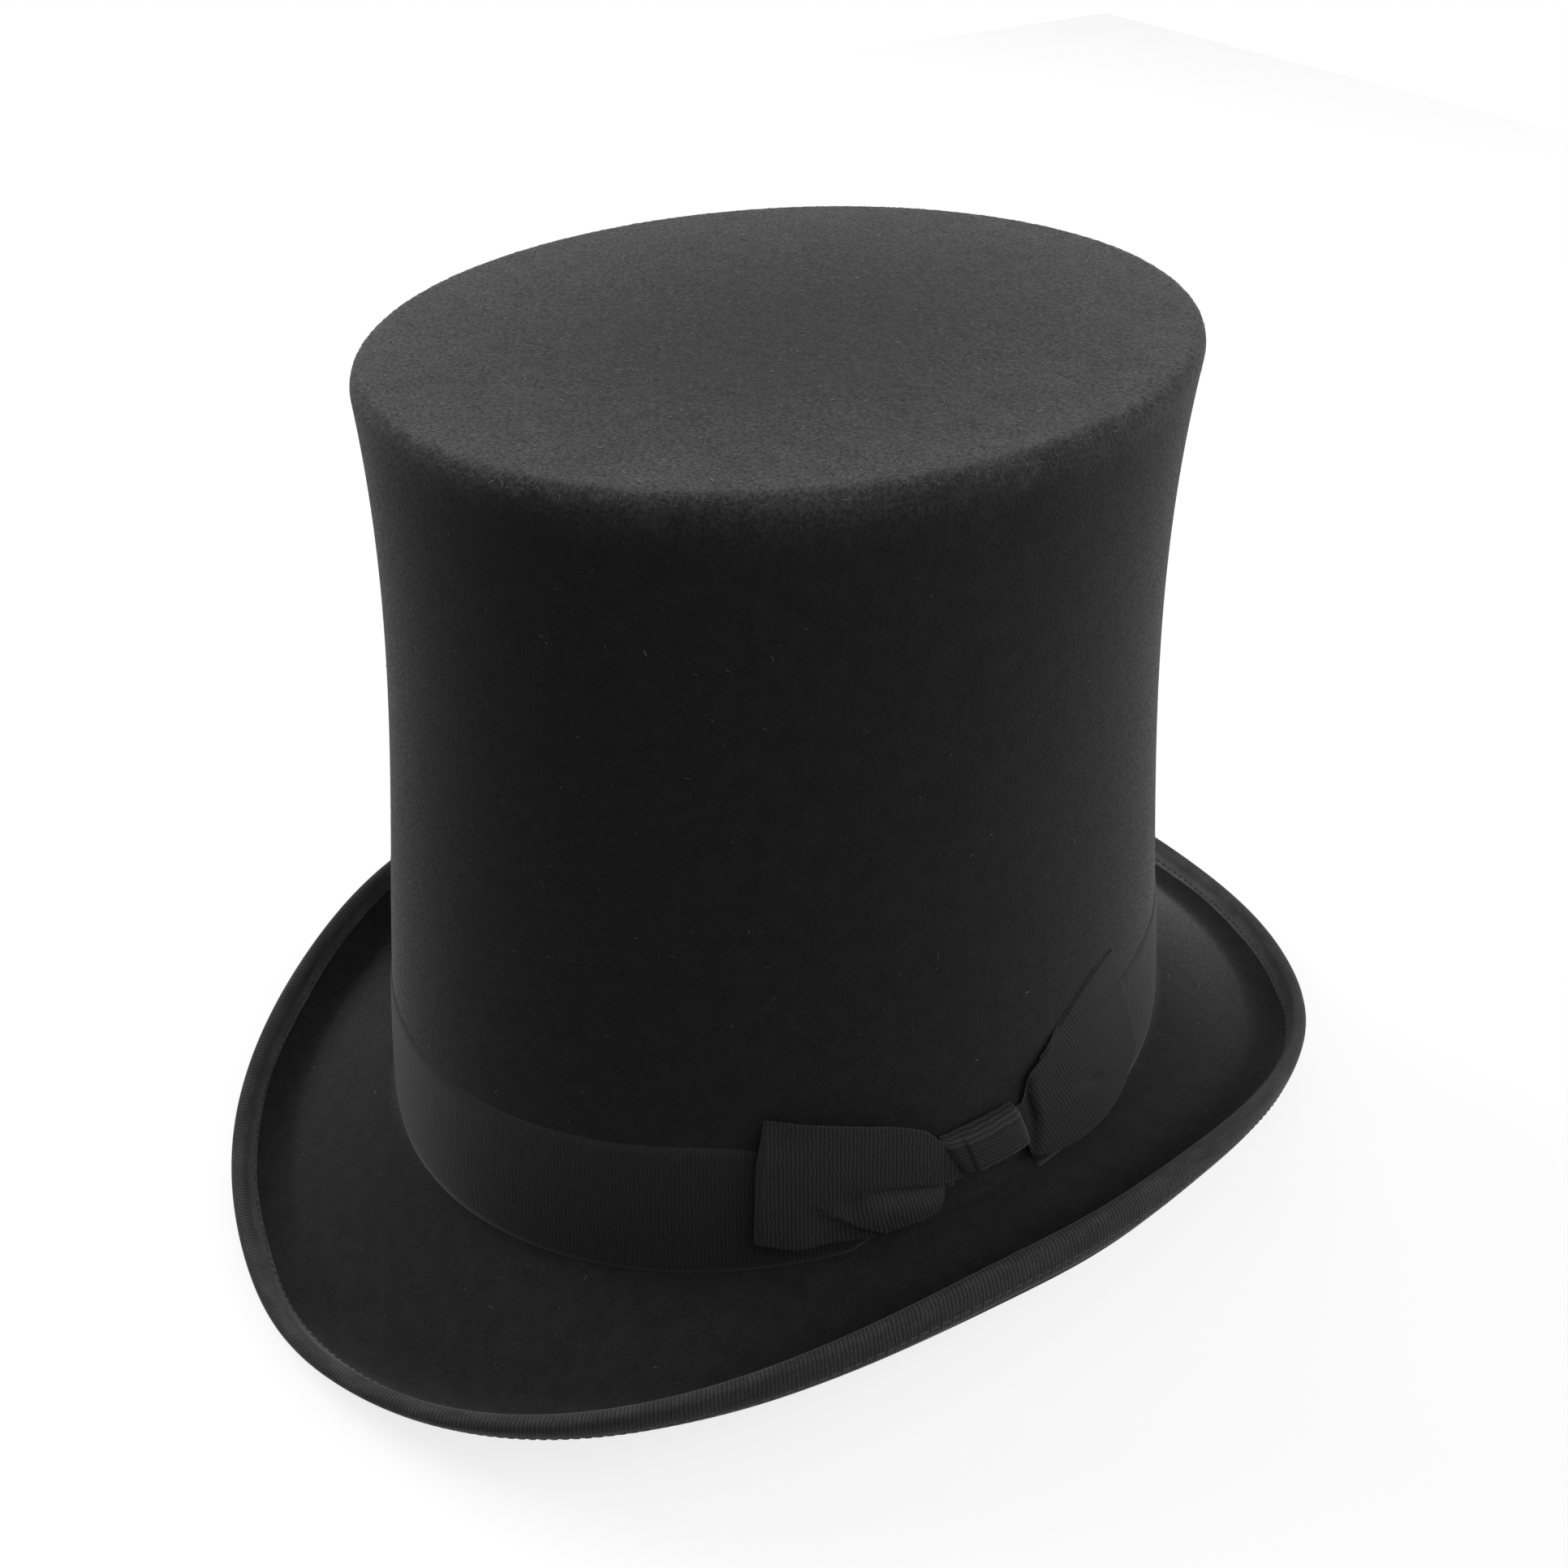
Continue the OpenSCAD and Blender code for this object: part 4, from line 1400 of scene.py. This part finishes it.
@dataclass
class RearLoop:
    """Loop of the bow behind the knot, pressed flatter, with a narrow neck into the knot.

    Its edges are points of a share of the way from the knot to the fold, s and h.
    """

    block: Block
    top: Sequence[Triple] = ((0, 11.6, 34.6), (0.25, 20, 39.2), (0.5, 29, 44.9), (0.75, 37.5, 48.6),
                             (1, 45, 49.6))
    low: Sequence[Triple] = ((0, 11.4, 11), (0.25, 21.8, 7.2), (0.5, 32.5, 5.5), (0.75, 44, 6.8),
                             (1, 53.8, 14))
    tilt: float = 25.0
    thickness: float = 0.3
    lines: int = 110
    fold_lines: int = 10
    neck_lines: int = 24
    across: int = 72
    # Hollow of the edge by the knot: its depth, where across it lies, its width and how fast it dies away.
    hollow_deep: float = 1.6
    hollow_v: float = 0.4
    hollow_w: float = 0.24
    hollow_power: int = 5
    # Roll of that edge: its depth and radius, the length it is measured over, and its share low and high.
    roll_deep: float = 2.3
    roll_r: float = 2.6
    roll_long: float = 40.0
    roll_share: Span = (0.3, 3.1)
    dent: Bump = Bump(32, 20.3, 4.5, 1.4, -0.7, -0.37)
    # Inner layer: its distance out low down, how much nearer it lies above the band, and at its upper edge.
    inner_out: float = 1.4
    inner_near: float = 0.9
    inner_edge: float = 0.4
    band_top: Span = (37.0, 41.0)
    inner_rise: float = 0.8
    inner_from: int = 10
    # Space between the layers at the upper and the lower edge, and how much less it is by the fold.
    apart: Span = (0.32, 2.1)
    closed: float = 0.4
    # Neck: where it starts, its lower edge and width there, its distance out, and where it widens.
    neck_s: float = 4.0
    neck_h: Span = (20.5, 6.0)
    neck_out: Span = (2.6, 1.1)
    neck_quick: float = 1.6
    neck_wide: Span = (0.7, 1.0)
    back_s: float = 55.0

    def edge(self, u: Array, knots: Sequence[Triple]) -> tuple[Array, Array]:
        """Follows one edge of the loop as its s and h."""
        share, s, h = zip(*knots)
        return through(u, list(zip(share, s))), through(u, list(zip(share, h)))

    def layers(self, u: Array, v: Array, s: Array, h: Array) -> tuple[Array, Array]:
        """Measures how far the inner and the outer layer stand from the crown.

        Args:
            u: share of the way from the knot to the fold.
            v: share of the way across the ribbon.
            s: length along the band.
            h: height above the brim.

        Returns:
            Distance out of the inner layer, and of the outer one.
        """
        above = ramp(h, self.band_top)
        under = self.inner_out - self.inner_near * above - self.inner_edge * v ** 10 * above
        rolled = self.roll_deep * (1 - rounded(u * self.roll_long, self.roll_r))
        roll = rolled * (1 - v) * between(v, self.roll_share)
        apart = self.apart[0] + self.apart[1] * (1 - ease(v)) - self.closed * ease(2 * u - 1) * (1 - v)
        return under, under + apart - roll + self.dent.at(s, h)

    def build(self, finish: Material) -> Piece:
        """Lays straight lines across the ribbon between its two edges, then the fold and the inner layer.

        Beside the knot the ribbon rolls under, and a narrow neck takes it into the knot.

        Args:
            finish: ribbon of the loop.

        Returns:
            The loop.
        """
        b = self.block
        v = np.linspace(0, 1, self.across)[None, :]
        u = np.linspace(0, 1, self.lines)[:, None]
        (low_s, low_h), (top_s, top_h) = self.edge(u, self.low), self.edge(u, self.top)
        hollow = np.exp(-((v - self.hollow_v) / self.hollow_w) ** 2) * (1 - u) ** self.hollow_power
        s = low_s + (top_s - low_s) * v + self.hollow_deep * hollow
        h = low_h + (top_h - low_h) * v
        under, out = self.layers(u, v, s, h)
        radius = (out[-1:] - under[-1:]) / 2
        turn = np.linspace(0, np.pi, self.fold_lines)[1:-1, None]
        fold_s, fold_h = s[-1:] + radius * np.sin(turn), np.broadcast_to(h[-1:], (turn.size, v.size))
        fold = b.beside(fold_s, out[-1:] - radius * (1 - np.cos(turn)), fold_h)
        kept = slice(None, self.inner_from, -1)
        inner_s, inner_h = s[kept], h[kept] + self.inner_rise * v ** 4 * ease(4 * (1 - u[kept]))
        g = np.linspace(0, 1, self.neck_lines)[:-1, None]
        widening = ramp(g, self.neck_wide)
        neck_s = self.neck_s * (1 - g) + s[:1] * g
        neck_h = (self.neck_h[0] + self.neck_h[1] * v) * (1 - widening) + h[:1] * widening
        neck_out = between(ease(self.neck_quick * g), self.neck_out) + (out[:1] - self.neck_out[1]) * widening
        points = np.concatenate([b.beside(neck_s, neck_out, neck_h), b.beside(s, out, h), fold,
                                 b.beside(inner_s, under[kept], inner_h)])
        all_s = np.concatenate([neck_s, s, fold_s, 2 * self.back_s - inner_s])
        all_h = np.concatenate([neck_h, h, fold_h, inner_h])
        lean_s, lean_h = np.sin(np.radians(self.tilt)), np.cos(np.radians(self.tilt))
        cloth = np.stack([all_s * lean_h + all_h * lean_s, all_h * lean_h - all_s * lean_s], -1)
        ribbon = lay_ribbon("bow_rear_loop_ribbon", points, cloth, self.thickness)
        piece = dress(ribbon, finish, "bow_ribbon", "bow_rear_loop")
        return piece


@dataclass
class Knot:
    """Ribbon wrapped round the gathered middle of the bow, leaning forward at its top."""

    block: Block
    half: float = 9.5
    low: float = 18.1
    high: float = 30.0
    back: float = 1.2
    front: float = 5.9
    corner_r: float = 2.1
    stretch: float = 0.78
    lean: float = 0.4
    lean_h: float = 25.0
    mid: float = -2.6
    lines: int = 160
    corner_lines: int = 8
    across: int = 64
    # Front of the knot, by its distance out, where the step and the belly show.
    facing: Span = (2.5, 4.5)
    # Step where the folded side lies under: its x at the foot and the top, its depth, softness and ridge.
    ledge: Span = (-7.0, -5.4)
    ledge_deep: float = 0.5
    ledge_soft: float = 0.5
    ridge: Triple = (0.2, 0.2, 0.4)
    # Belly of the middle, and how far and how sharply the edges turn in.
    belly: float = 0.25
    edge_deep: float = 0.8
    edge_power: int = 14
    width_share: Span = (0.91, 1.0)
    tilt: float = 0.05

    def section(self) -> Array:
        """Draws the closed section in height and distance out: four quarter circles joined by straights.

        Returns:
            Length along the section, height and distance out, one a column, ending where it starts.
        """
        r = self.corner_r
        corner = np.linspace(0, QUARTER, self.corner_lines)
        high, low, front, back = self.high - r, self.low + r, self.front - r, self.back + r
        middles = ((high, front), (high, back), (low, back), (low, front))
        rounds = [np.stack([h + r * np.sin(corner + QUARTER * k), out + r * np.cos(corner + QUARTER * k)], 1)
                  for k, (h, out) in enumerate(middles)]
        line = np.concatenate([*rounds, rounds[0][:1]])
        run = run_along(line)
        at = np.linspace(0, run[-1], self.lines + 1)
        return np.stack([at, np.interp(at, run, line[:, 0]), np.interp(at, run, line[:, 1])], 1)

    def build(self, finish: Material) -> Piece:
        """Carries the section across the knot, with a shallow step near the front where the fold lies under.

        Args:
            finish: ribbon of the bow.

        Returns:
            The knot.
        """
        at, h, out = (column[:, None] for column in self.section().T)
        h, out = h[:-1], out[:-1]
        x = np.linspace(-self.half, self.half, self.across)[None, :]
        share = (h - self.low) / (self.high - self.low)
        past = x - between(share, self.ledge)
        ridge_deep, ridge_x, ridge_w = self.ridge
        step = self.ledge_deep * (1 - ease(past / self.ledge_soft))
        step = step + ridge_deep * np.exp(-((past - ridge_x) / ridge_w) ** 2)
        t = x / self.half
        belly = self.belly * (1 - t ** 2) - self.edge_deep * np.abs(t) ** self.edge_power
        s = x * between(share, self.width_share) + self.mid - self.lean * (h - self.lean_h)
        out = out + ramp(out, self.facing) * (belly - step)
        points = self.block.beside(s, out, h + self.tilt * x * share)
        cloth = np.stack(np.broadcast_arrays(at * self.stretch, x), -1)
        ribbon = lay_ribbon("bow_knot_ribbon", points, cloth, self.block.ribbon_t, joined=True)
        piece = dress(ribbon, finish, "bow_ribbon", "bow_knot")
        return piece


@dataclass
class Bow:
    """Flat bow over the join of the band: two loops, the knot round both and a loose end of thread.

    The thread's ends are s, the distance out and h, and its shape is its width, bow and lift.
    """

    block: Block
    loose_thread: Sequence[Triple] = ((-4.7, 6.2, 19.5), (-4.2, 5.0, 10.8))
    thread_shape: Triple = (0.3, 0.5, 0.2)
    outward: Triple = (1.0, 0.0, 0.0)

    def thread_end(self, finish: Material) -> Piece:
        """Hangs a loose end of thread from the knot, bowed a little to one side.

        Args:
            finish: thread of the stitching.

        Returns:
            The thread.
        """
        ends = self.block.beside(*(np.array(x) for x in zip(*self.loose_thread)))
        way = ends[:1] - ends[1:]
        size = np.array([[np.linalg.norm(way), *self.thread_shape]])
        out = np.array([self.outward])
        piece = lay_fibres("bow_loose_thread", ends.mean(0, keepdims=True), way, out, size, np.ones(1))
        return dress(piece, finish, "bow_ribbon")

    def build(self, finish: Material, pressed: Material, thread: Material) -> list[Piece]:
        """Lays the loops, the knot over them and its thread.

        Args:
            finish: ribbon of the front loop and the knot.
            pressed: ribbon of the rear loop, a darker copy of the bow's ribbon with fainter ribs: painted
                shade.
            thread: thread of the stitching.

        Returns:
            The pieces of the bow.
        """
        front, rear = FrontLoop(self.block).build(finish), RearLoop(self.block).build(pressed)
        return [front, rear, Knot(self.block).build(finish), self.thread_end(thread)]


@dataclass
class SeamBow:
    """Small bow over the seam of the sweatband: a ribbon narrowed and pleated at its middle, and its knot."""

    block: Block
    face_in: float
    middle_up: float
    half_long: float = 12.0
    half_w: Span = (1.5, 4.0)
    spread: float = 9.0
    lines: int = 61
    across: int = 25
    thickness: float = 0.35
    # Distance of the ribbon from the leather's face, away from the pinched middle and at it.
    off: Span = (1.0, 0.75)
    pinch_w: float = 4.5
    ripple: float = 0.22
    ripple_turn: float = 9.0
    # Knot: half its width, its distance in, its half height and depth, and how it thins to its edges.
    knot_half: float = 1.6
    knot_off: float = 0.8
    knot_size: Span = (2.1, 0.75)
    knot_round: float = 0.1 / 2.6
    knot_lines: int = 32
    knot_across: int = 9
    knot_step: float = 0.3
    knot_t: float = 0.3

    def build(self, finish: Material) -> list[Piece]:
        """Lays the ribbon over the seam and the knot wrapped round it.

        Args:
            finish: ribbon of the bow.

        Returns:
            The ribbon and its knot.
        """
        b = self.block
        x = np.linspace(-self.half_long, self.half_long, self.lines)[:, None]
        v = np.linspace(-1, 1, self.across)[None, :]
        near = np.exp(-(x / self.pinch_w) ** 2)
        half = between(ease(np.abs(x) / self.spread), self.half_w)
        ripple = self.ripple * near * np.cos(v * self.ripple_turn)
        middle = b.sweatband_low(np.array([QUARTER])) + self.middle_up
        off = self.face_in + between(near, self.off) + ripple
        points = b.side(QUARTER + x / b.half_w, middle + half * v, off)
        cloth = np.stack(np.broadcast_arrays(x, v * self.half_w[1]), -1)
        strip = lay_ribbon("sweatband_bow_ribbon", points, cloth, self.thickness)
        ribbon = dress(strip, finish, "seam_bow_ribbon", "sweatband_bow")
        turn = angles(self.knot_lines)[:, None]
        y = np.linspace(-self.knot_half, self.knot_half, self.knot_across)[None, :]
        tall, deep = self.knot_size
        inset = self.face_in + self.knot_off + deep * np.cos(turn) * (1 - self.knot_round * y ** 2)
        wrap = b.side(QUARTER + y / b.half_w, middle + tall * np.sin(turn), inset)
        along = np.arange(self.knot_lines + 1)[:, None] * self.knot_step
        knot_cloth = np.stack(np.broadcast_arrays(along, y), -1)
        tie = lay_ribbon("sweatband_bow_knot", wrap, knot_cloth, self.knot_t, joined=True)
        knot = dress(tie, finish, "seam_bow_ribbon")
        return [ribbon, knot]


@dataclass
class Sweatband:
    """Leather band that rests on the head, its reed, its stitches and the small bow over its seam."""

    block: Block
    width: float = 38.0
    length: float = 566.0
    thickness: float = 1.0
    face_in: float = 4.4
    turned: float = 0.4
    columns: int = 360
    rows: int = 20
    reed_lines: int = 14
    reed_step: Span = (1.6, 0.4)
    stitch_count: int = 176
    stitch_up: float = 2.2
    stitch_off: float = 0.05
    stitch_size: Triple = (2.2, 0.45, 0.4)

    def band(self, finish: Material) -> Piece:
        """Lays the leather as a ring of even width, its upper edge turned a little from the lining.

        Args:
            finish: the leather.

        Returns:
            The band.
        """
        b = self.block
        a = angles(self.columns)
        v = np.linspace(0, 1, self.rows)[:, None]
        inset = self.face_in - self.thickness / 2 + self.turned * v ** 6
        points = b.side(a, b.sweatband_low(a) + v * self.width, inset)
        across = v[:, 0] * self.width
        hoop = lay_hoop("sweatband_leather_strip", points, self.length, across, self.thickness)
        piece = dress(hoop, finish, "sweatband_leather", "sweatband")
        return piece

    def reed(self, finish: Material) -> Piece:
        """Lays the covered cord as a circle carried round the foot of the crown.

        Args:
            finish: covering of the cord.

        Returns:
            The reed.
        """
        b, r = self.block, self.block.reed_d / 2
        a, u = angles(self.columns), angles(self.reed_lines)[:, None]
        up = b.break_h(a) + b.felt_t / 2 + r + r * np.sin(u)
        points = b.side(a, up, b.felt_t + b.fit_gap + r - r * np.cos(u))
        along = np.arange(self.columns + 1) * self.reed_step[0]
        across = np.arange(self.reed_lines + 1) * self.reed_step[1]
        cloth = np.stack(np.meshgrid(along, across), -1)
        return dress(lay_ring("sweatband_reed_cord", points, cloth), finish, "reed", "sweatband_reed")

    def stitches(self, finish: Material) -> Piece:
        """Lays a line of stitches just above the reed.

        Args:
            finish: thread of the stitches.

        Returns:
            The stitches as one piece.
        """
        b = self.block
        a = (np.arange(self.stitch_count) + 0.5) * TURN / self.stitch_count
        h = b.sweatband_low(a) + self.stitch_up
        face = self.face_in + self.stitch_off
        at = b.side(a, h, face)
        way, out = b.side(a + NUDGE, h, face) - at, b.side(a, h, self.face_in + 1) - at
        piece = lay_stitches("sweatband_stitches", at, way, out, self.stitch_size)
        return dress(piece, finish, "sweatband_leather")

    def build(self, leather: Material, cord: Material, thread: Material, ribbon: Material) -> list[Piece]:
        """Lays the band, its reed, its stitches and its bow.

        Args:
            leather: leather of the band.
            cord: covering of the reed.
            thread: thread of the stitches.
            ribbon: ribbon of the bow.

        Returns:
            The pieces of the sweatband.
        """
        bow = SeamBow(self.block, self.face_in, self.width / 2)
        return [self.band(leather), self.reed(cord), self.stitches(thread), *bow.build(ribbon)]


@dataclass
class Lining:
    """Satin lining: a gathered wall, and an oval under the tip, with a seam between them."""

    block: Block
    inset: float = 2.7
    thickness: float = 0.4
    foot: float = 28.0
    length: float = 540.0
    columns: int = 480
    rows: int = 48
    seam_rows: int = 6
    # Folds round the wall as their count, start and depth; the fine ones sway by a sine of so many waves.
    fine: Triple = (64, 0.0, 0.9)
    broad: Triple = (29, 0.7, 0.8)
    fine_sway: Triple = (5, 0.0, 1.3)
    seam_held: float = 0.25
    seam_from: Span = (0.9, 1.0)
    seam_fade: float = 1.4
    tip_columns: int = 192
    tip_rings: int = 24
    tip_back_rings: int = 12
    tip_in: float = 0.3
    tip_sag: float = 0.7

    def folds(self, a: Array) -> Array:
        """Draws the folds round the wall: two sines, each raised to stand inwards only.

        Args:
            a: angles round the crown.

        Returns:
            Distance in that the folds stand.
        """
        fine, broad = self.fine, self.broad
        swayed = fine[0] * a + fine[1] + waves(a, [self.fine_sway])
        return (1 + np.sin(swayed)) / 2 * fine[2] + (1 + np.sin(broad[0] * a + broad[1])) / 2 * broad[2]

    def wall(self, finish: Material) -> Piece:
        """Lays the wall with soft upright folds that grow towards the seam of the tip.

        Args:
            finish: the satin.

        Returns:
            The wall.
        """
        b = self.block
        a = angles(self.columns)
        fold = self.folds(a)
        top = b.crown_h - b.tip_edge_r
        low = b.sweatband_low(a) + self.foot
        k = np.linspace(0, 1, self.rows)[:, None]
        grow = ease(k) * (1 - self.seam_held * ramp(k, self.seam_from))
        upright = b.side(a, low + (top - low) * k, self.inset + self.thickness / 2 + fold * grow)
        r = b.tip_edge_r - self.inset - self.thickness / 2
        u = np.linspace(0, QUARTER, self.seam_rows)[1:, None]
        fade = (1 - self.seam_held) * (1 - u / np.pi * self.seam_fade)
        turned = b.side(a, top + r * np.sin(u), b.tip_edge_r - r * np.cos(u) + fold * fade)
        points = np.concatenate([upright, turned])
        hoop = lay_hoop("lining_wall_satin", points, self.length, run_along(points[:, 0]), self.thickness)
        piece = dress(hoop, finish, "lining_satin", "lining_side")
        return piece

    def tip(self, finish: Material) -> Piece:
        """Lays the oval under the tip: rings from its middle to its edge and back, sagging by a shallow bowl.

        Args:
            finish: the satin.

        Returns:
            The oval.
        """
        b = self.block
        a = angles(self.tip_columns)
        top = b.crown_h - self.inset
        edge = b.side(a, np.full_like(a, top), b.tip_edge_r + self.tip_in)
        ways = np.linspace(0, 1, self.tip_rings), np.linspace(1, 0, self.tip_back_rings)
        f = np.concatenate(ways)[:, None, None]
        points = edge[None] * f + b.axis_at(top) * (1 - f)
        points[..., 2] -= self.tip_sag * (1 - f[..., 0] ** 2)
        points[:self.tip_rings, :, 2] -= self.thickness
        flat = points[..., :2]
        shell = lay_shell("lining_tip_satin", points, np.concatenate([flat, flat[:, :1]], 1))
        piece = dress(shell, finish, "lining_satin", "lining_tip")
        return piece

    def build(self, finish: Material) -> list[Piece]:
        """Lays the wall and the oval."""
        return [self.wall(finish), self.tip(finish)]


def backdrop_seen(tree: Tree) -> bpy.types.Node:
    """Tells where the backdrop is seen, by the camera or in a gloss: 1 there, 0 where it only lights.

    Args:
        tree: nodes of the floor or the world.

    Returns:
        The node with that value.
    """
    path = add(tree, "LightPath").outputs
    gloss = add(tree, "Math", {0: path["Is Glossy Ray"], 1: path["Is Transmission Ray"]}, operation="MAXIMUM")
    return add(tree, "Math", {0: path["Is Camera Ray"], 1: gloss}, operation="MAXIMUM")


def way_from(bearing: float, rise: float) -> Vector:
    """Direction out from the hat at an angle round from its front and a height, both in degrees."""
    turn, up = np.radians(bearing), np.radians(rise)
    return Vector((np.sin(turn) * np.cos(up), -np.cos(turn) * np.cos(up), np.sin(up)))


@dataclass(frozen=True)
class Lamp:
    """A soft box: where it stands, as the angle round from behind the hat and the height, and its power."""

    name: str
    bearing: float
    rise: float
    power: float


@dataclass
class Studio:
    """White floor and world, soft boxes all round, and a camera at the photograph's angle."""

    bearing: float = 57.5
    elevation: float = 35.915
    distance: float = 0.3978
    target: Triple = (-0.00048, -0.00075, 0.09353)
    lens: float = 37.867
    sensor: float = 36.0
    clip: Span = (0.01, 50.0)
    lamps: Sequence[Lamp] = (
        Lamp("softbox_top", 150, 84, 1.3), Lamp("softbox_rear", 0, 30, 1.9),
        Lamp("softbox_left", -62, 29, 6.9), Lamp("softbox_right", 70, 11, 3.4),
        Lamp("softbox_near_right", 112, 40, 2.4), Lamp("softbox_front", 165, 47, 2.2))
    lamp_distance: float = 1.4
    lamp_size: float = 0.8
    lamp_aim: Triple = (0.0, 0.0, 0.1)
    world_light: float = 0.02
    floor_half: float = 1000.0
    floor_t: float = 20.0
    floor_cast: str = "#c8c8c8"
    floor_dull: str = "#4a4a4a"
    floor_glow: float = 0.78

    def look(self) -> None:
        """Sets the camera on the line back from its target at the bearing and elevation."""
        back = way_from(self.bearing, self.elevation)
        data = bpy.data.cameras.new("camera")
        data.lens, data.sensor_width = self.lens, self.sensor
        data.clip_start, data.clip_end = self.clip
        camera = bpy.data.objects.new("camera", data)
        camera.location = Vector(self.target) + back * self.distance
        camera.rotation_euler = (-back).to_track_quat("-Z", "Y").to_euler()
        bpy.context.scene.collection.objects.link(camera)
        bpy.context.scene.camera = camera

    def light(self) -> None:
        """Stands the soft boxes round the hat, facing it, in a world that is dim but white to the camera."""
        for lamp in self.lamps:
            way = way_from(self.bearing + 180 - lamp.bearing, lamp.rise)
            data = bpy.data.lights.new(lamp.name, "AREA")
            data.shape, data.energy = "RECTANGLE", lamp.power
            data.size = data.size_y = self.lamp_size
            box = bpy.data.objects.new(lamp.name, data)
            box.location = Vector(self.lamp_aim) + way * self.lamp_distance
            box.rotation_euler = way.to_track_quat("Z", "Y").to_euler()
            box.visible_camera = False
            bpy.context.scene.collection.objects.link(box)
        world = bpy.data.worlds.new("studio")
        bpy.context.scene.world = world
        world.use_nodes = True
        tree = world.node_tree
        tree.nodes.clear()
        dim, white = (add(tree, "Background", {"Color": (1, 1, 1, 1), "Strength": strength})
                      for strength in (self.world_light, 1.0))
        shown = add(tree, "MixShader", {0: backdrop_seen(tree), 1: dim, 2: white})
        add(tree, "OutputWorld", {"Surface": shown})

    def floor(self) -> None:
        """Lays a wide pale floor under the hat: white to the camera but for the hat's shadow."""
        x = np.array([-self.floor_half, self.floor_half])
        corners = np.stack(np.meshgrid(x, x, indexing="ij"), -1).reshape(-1, 2)
        points = np.concatenate([np.c_[corners, np.full(4, z)] for z in (0.0, -self.floor_t)])
        faces = np.array([[0, 1, 3, 2], [4, 6, 7, 5], [0, 4, 5, 1], [2, 3, 7, 6], [0, 2, 6, 4], [1, 5, 7, 3]])
        piece = put("floor", points, [faces], [np.zeros((*faces.shape, 2))])
        piece.data.polygons.foreach_set("use_smooth", np.zeros(len(faces), bool))
        made, tree = fresh("white_painted_floor")
        cast = add(tree, "BsdfDiffuse", {"Color": linear(self.floor_cast)})
        dull = add(tree, "BsdfDiffuse", {"Color": linear(self.floor_dull)})
        glow = add(tree, "Emission", {"Color": linear("#ffffff"), "Strength": self.floor_glow})
        pale = add(tree, "AddShader", {0: cast, 1: glow})
        shown = add(tree, "MixShader", {0: backdrop_seen(tree), 1: dull, 2: pale})
        add(tree, "OutputMaterial", {"Surface": shown})
        piece.data.materials.append(made)

    def build(self) -> None:
        """Sets the camera, the light and the floor, with colours shown as they are."""
        self.look()
        self.light()
        self.floor()
        bpy.context.scene.view_settings.view_transform = "Standard"


def main() -> None:
    logging.basicConfig(level=logging.INFO, format="%(message)s")
    Studio().build()
    block = Block()
    thread = Thread().material()
    felt = FeltBody(block)
    felt.build(WoolFelt().material())
    felt.fibres(WoolFibre().material())
    # The binding is painted paler over 8 mm of its upper face: painted light where that face catches the
    # light.
    binding = Grosgrain("binding_grosgrain", dark="#454645", pale="#676867", rib_deep_mm=0.06, lustre=0.04,
                        bloom=0.64, scuff=0.3, painted_pale_mm=8.0)
    Binding(block).build(binding.material(), thread)
    # Band and bow are one ribbon; the band's darker copy and the rear loop's duller copy are painted shade.
    band = Grosgrain("band_grosgrain", dark="#363736", pale="#484948", rib_deep_mm=0.06, bloom=0.54)
    Band(block).build(band.material())
    bow_ribbon = Grosgrain("bow_grosgrain", dark="#393a39", pale="#595a59", bloom=0.38).material()
    pressed = Grosgrain("bow_grosgrain_shaded_copy", dark="#393a39", pale="#4f504f", rib_deep_mm=0.05, bloom=0.36)
    Bow(block).build(bow_ribbon, pressed.material(), thread)
    cord = Leather("black_oilcloth_cord").material()
    Sweatband(block).build(Leather().material(), cord, thread, bow_ribbon)
    Lining(block).build(Satin().material())


if __name__ == "__main__":
    main()
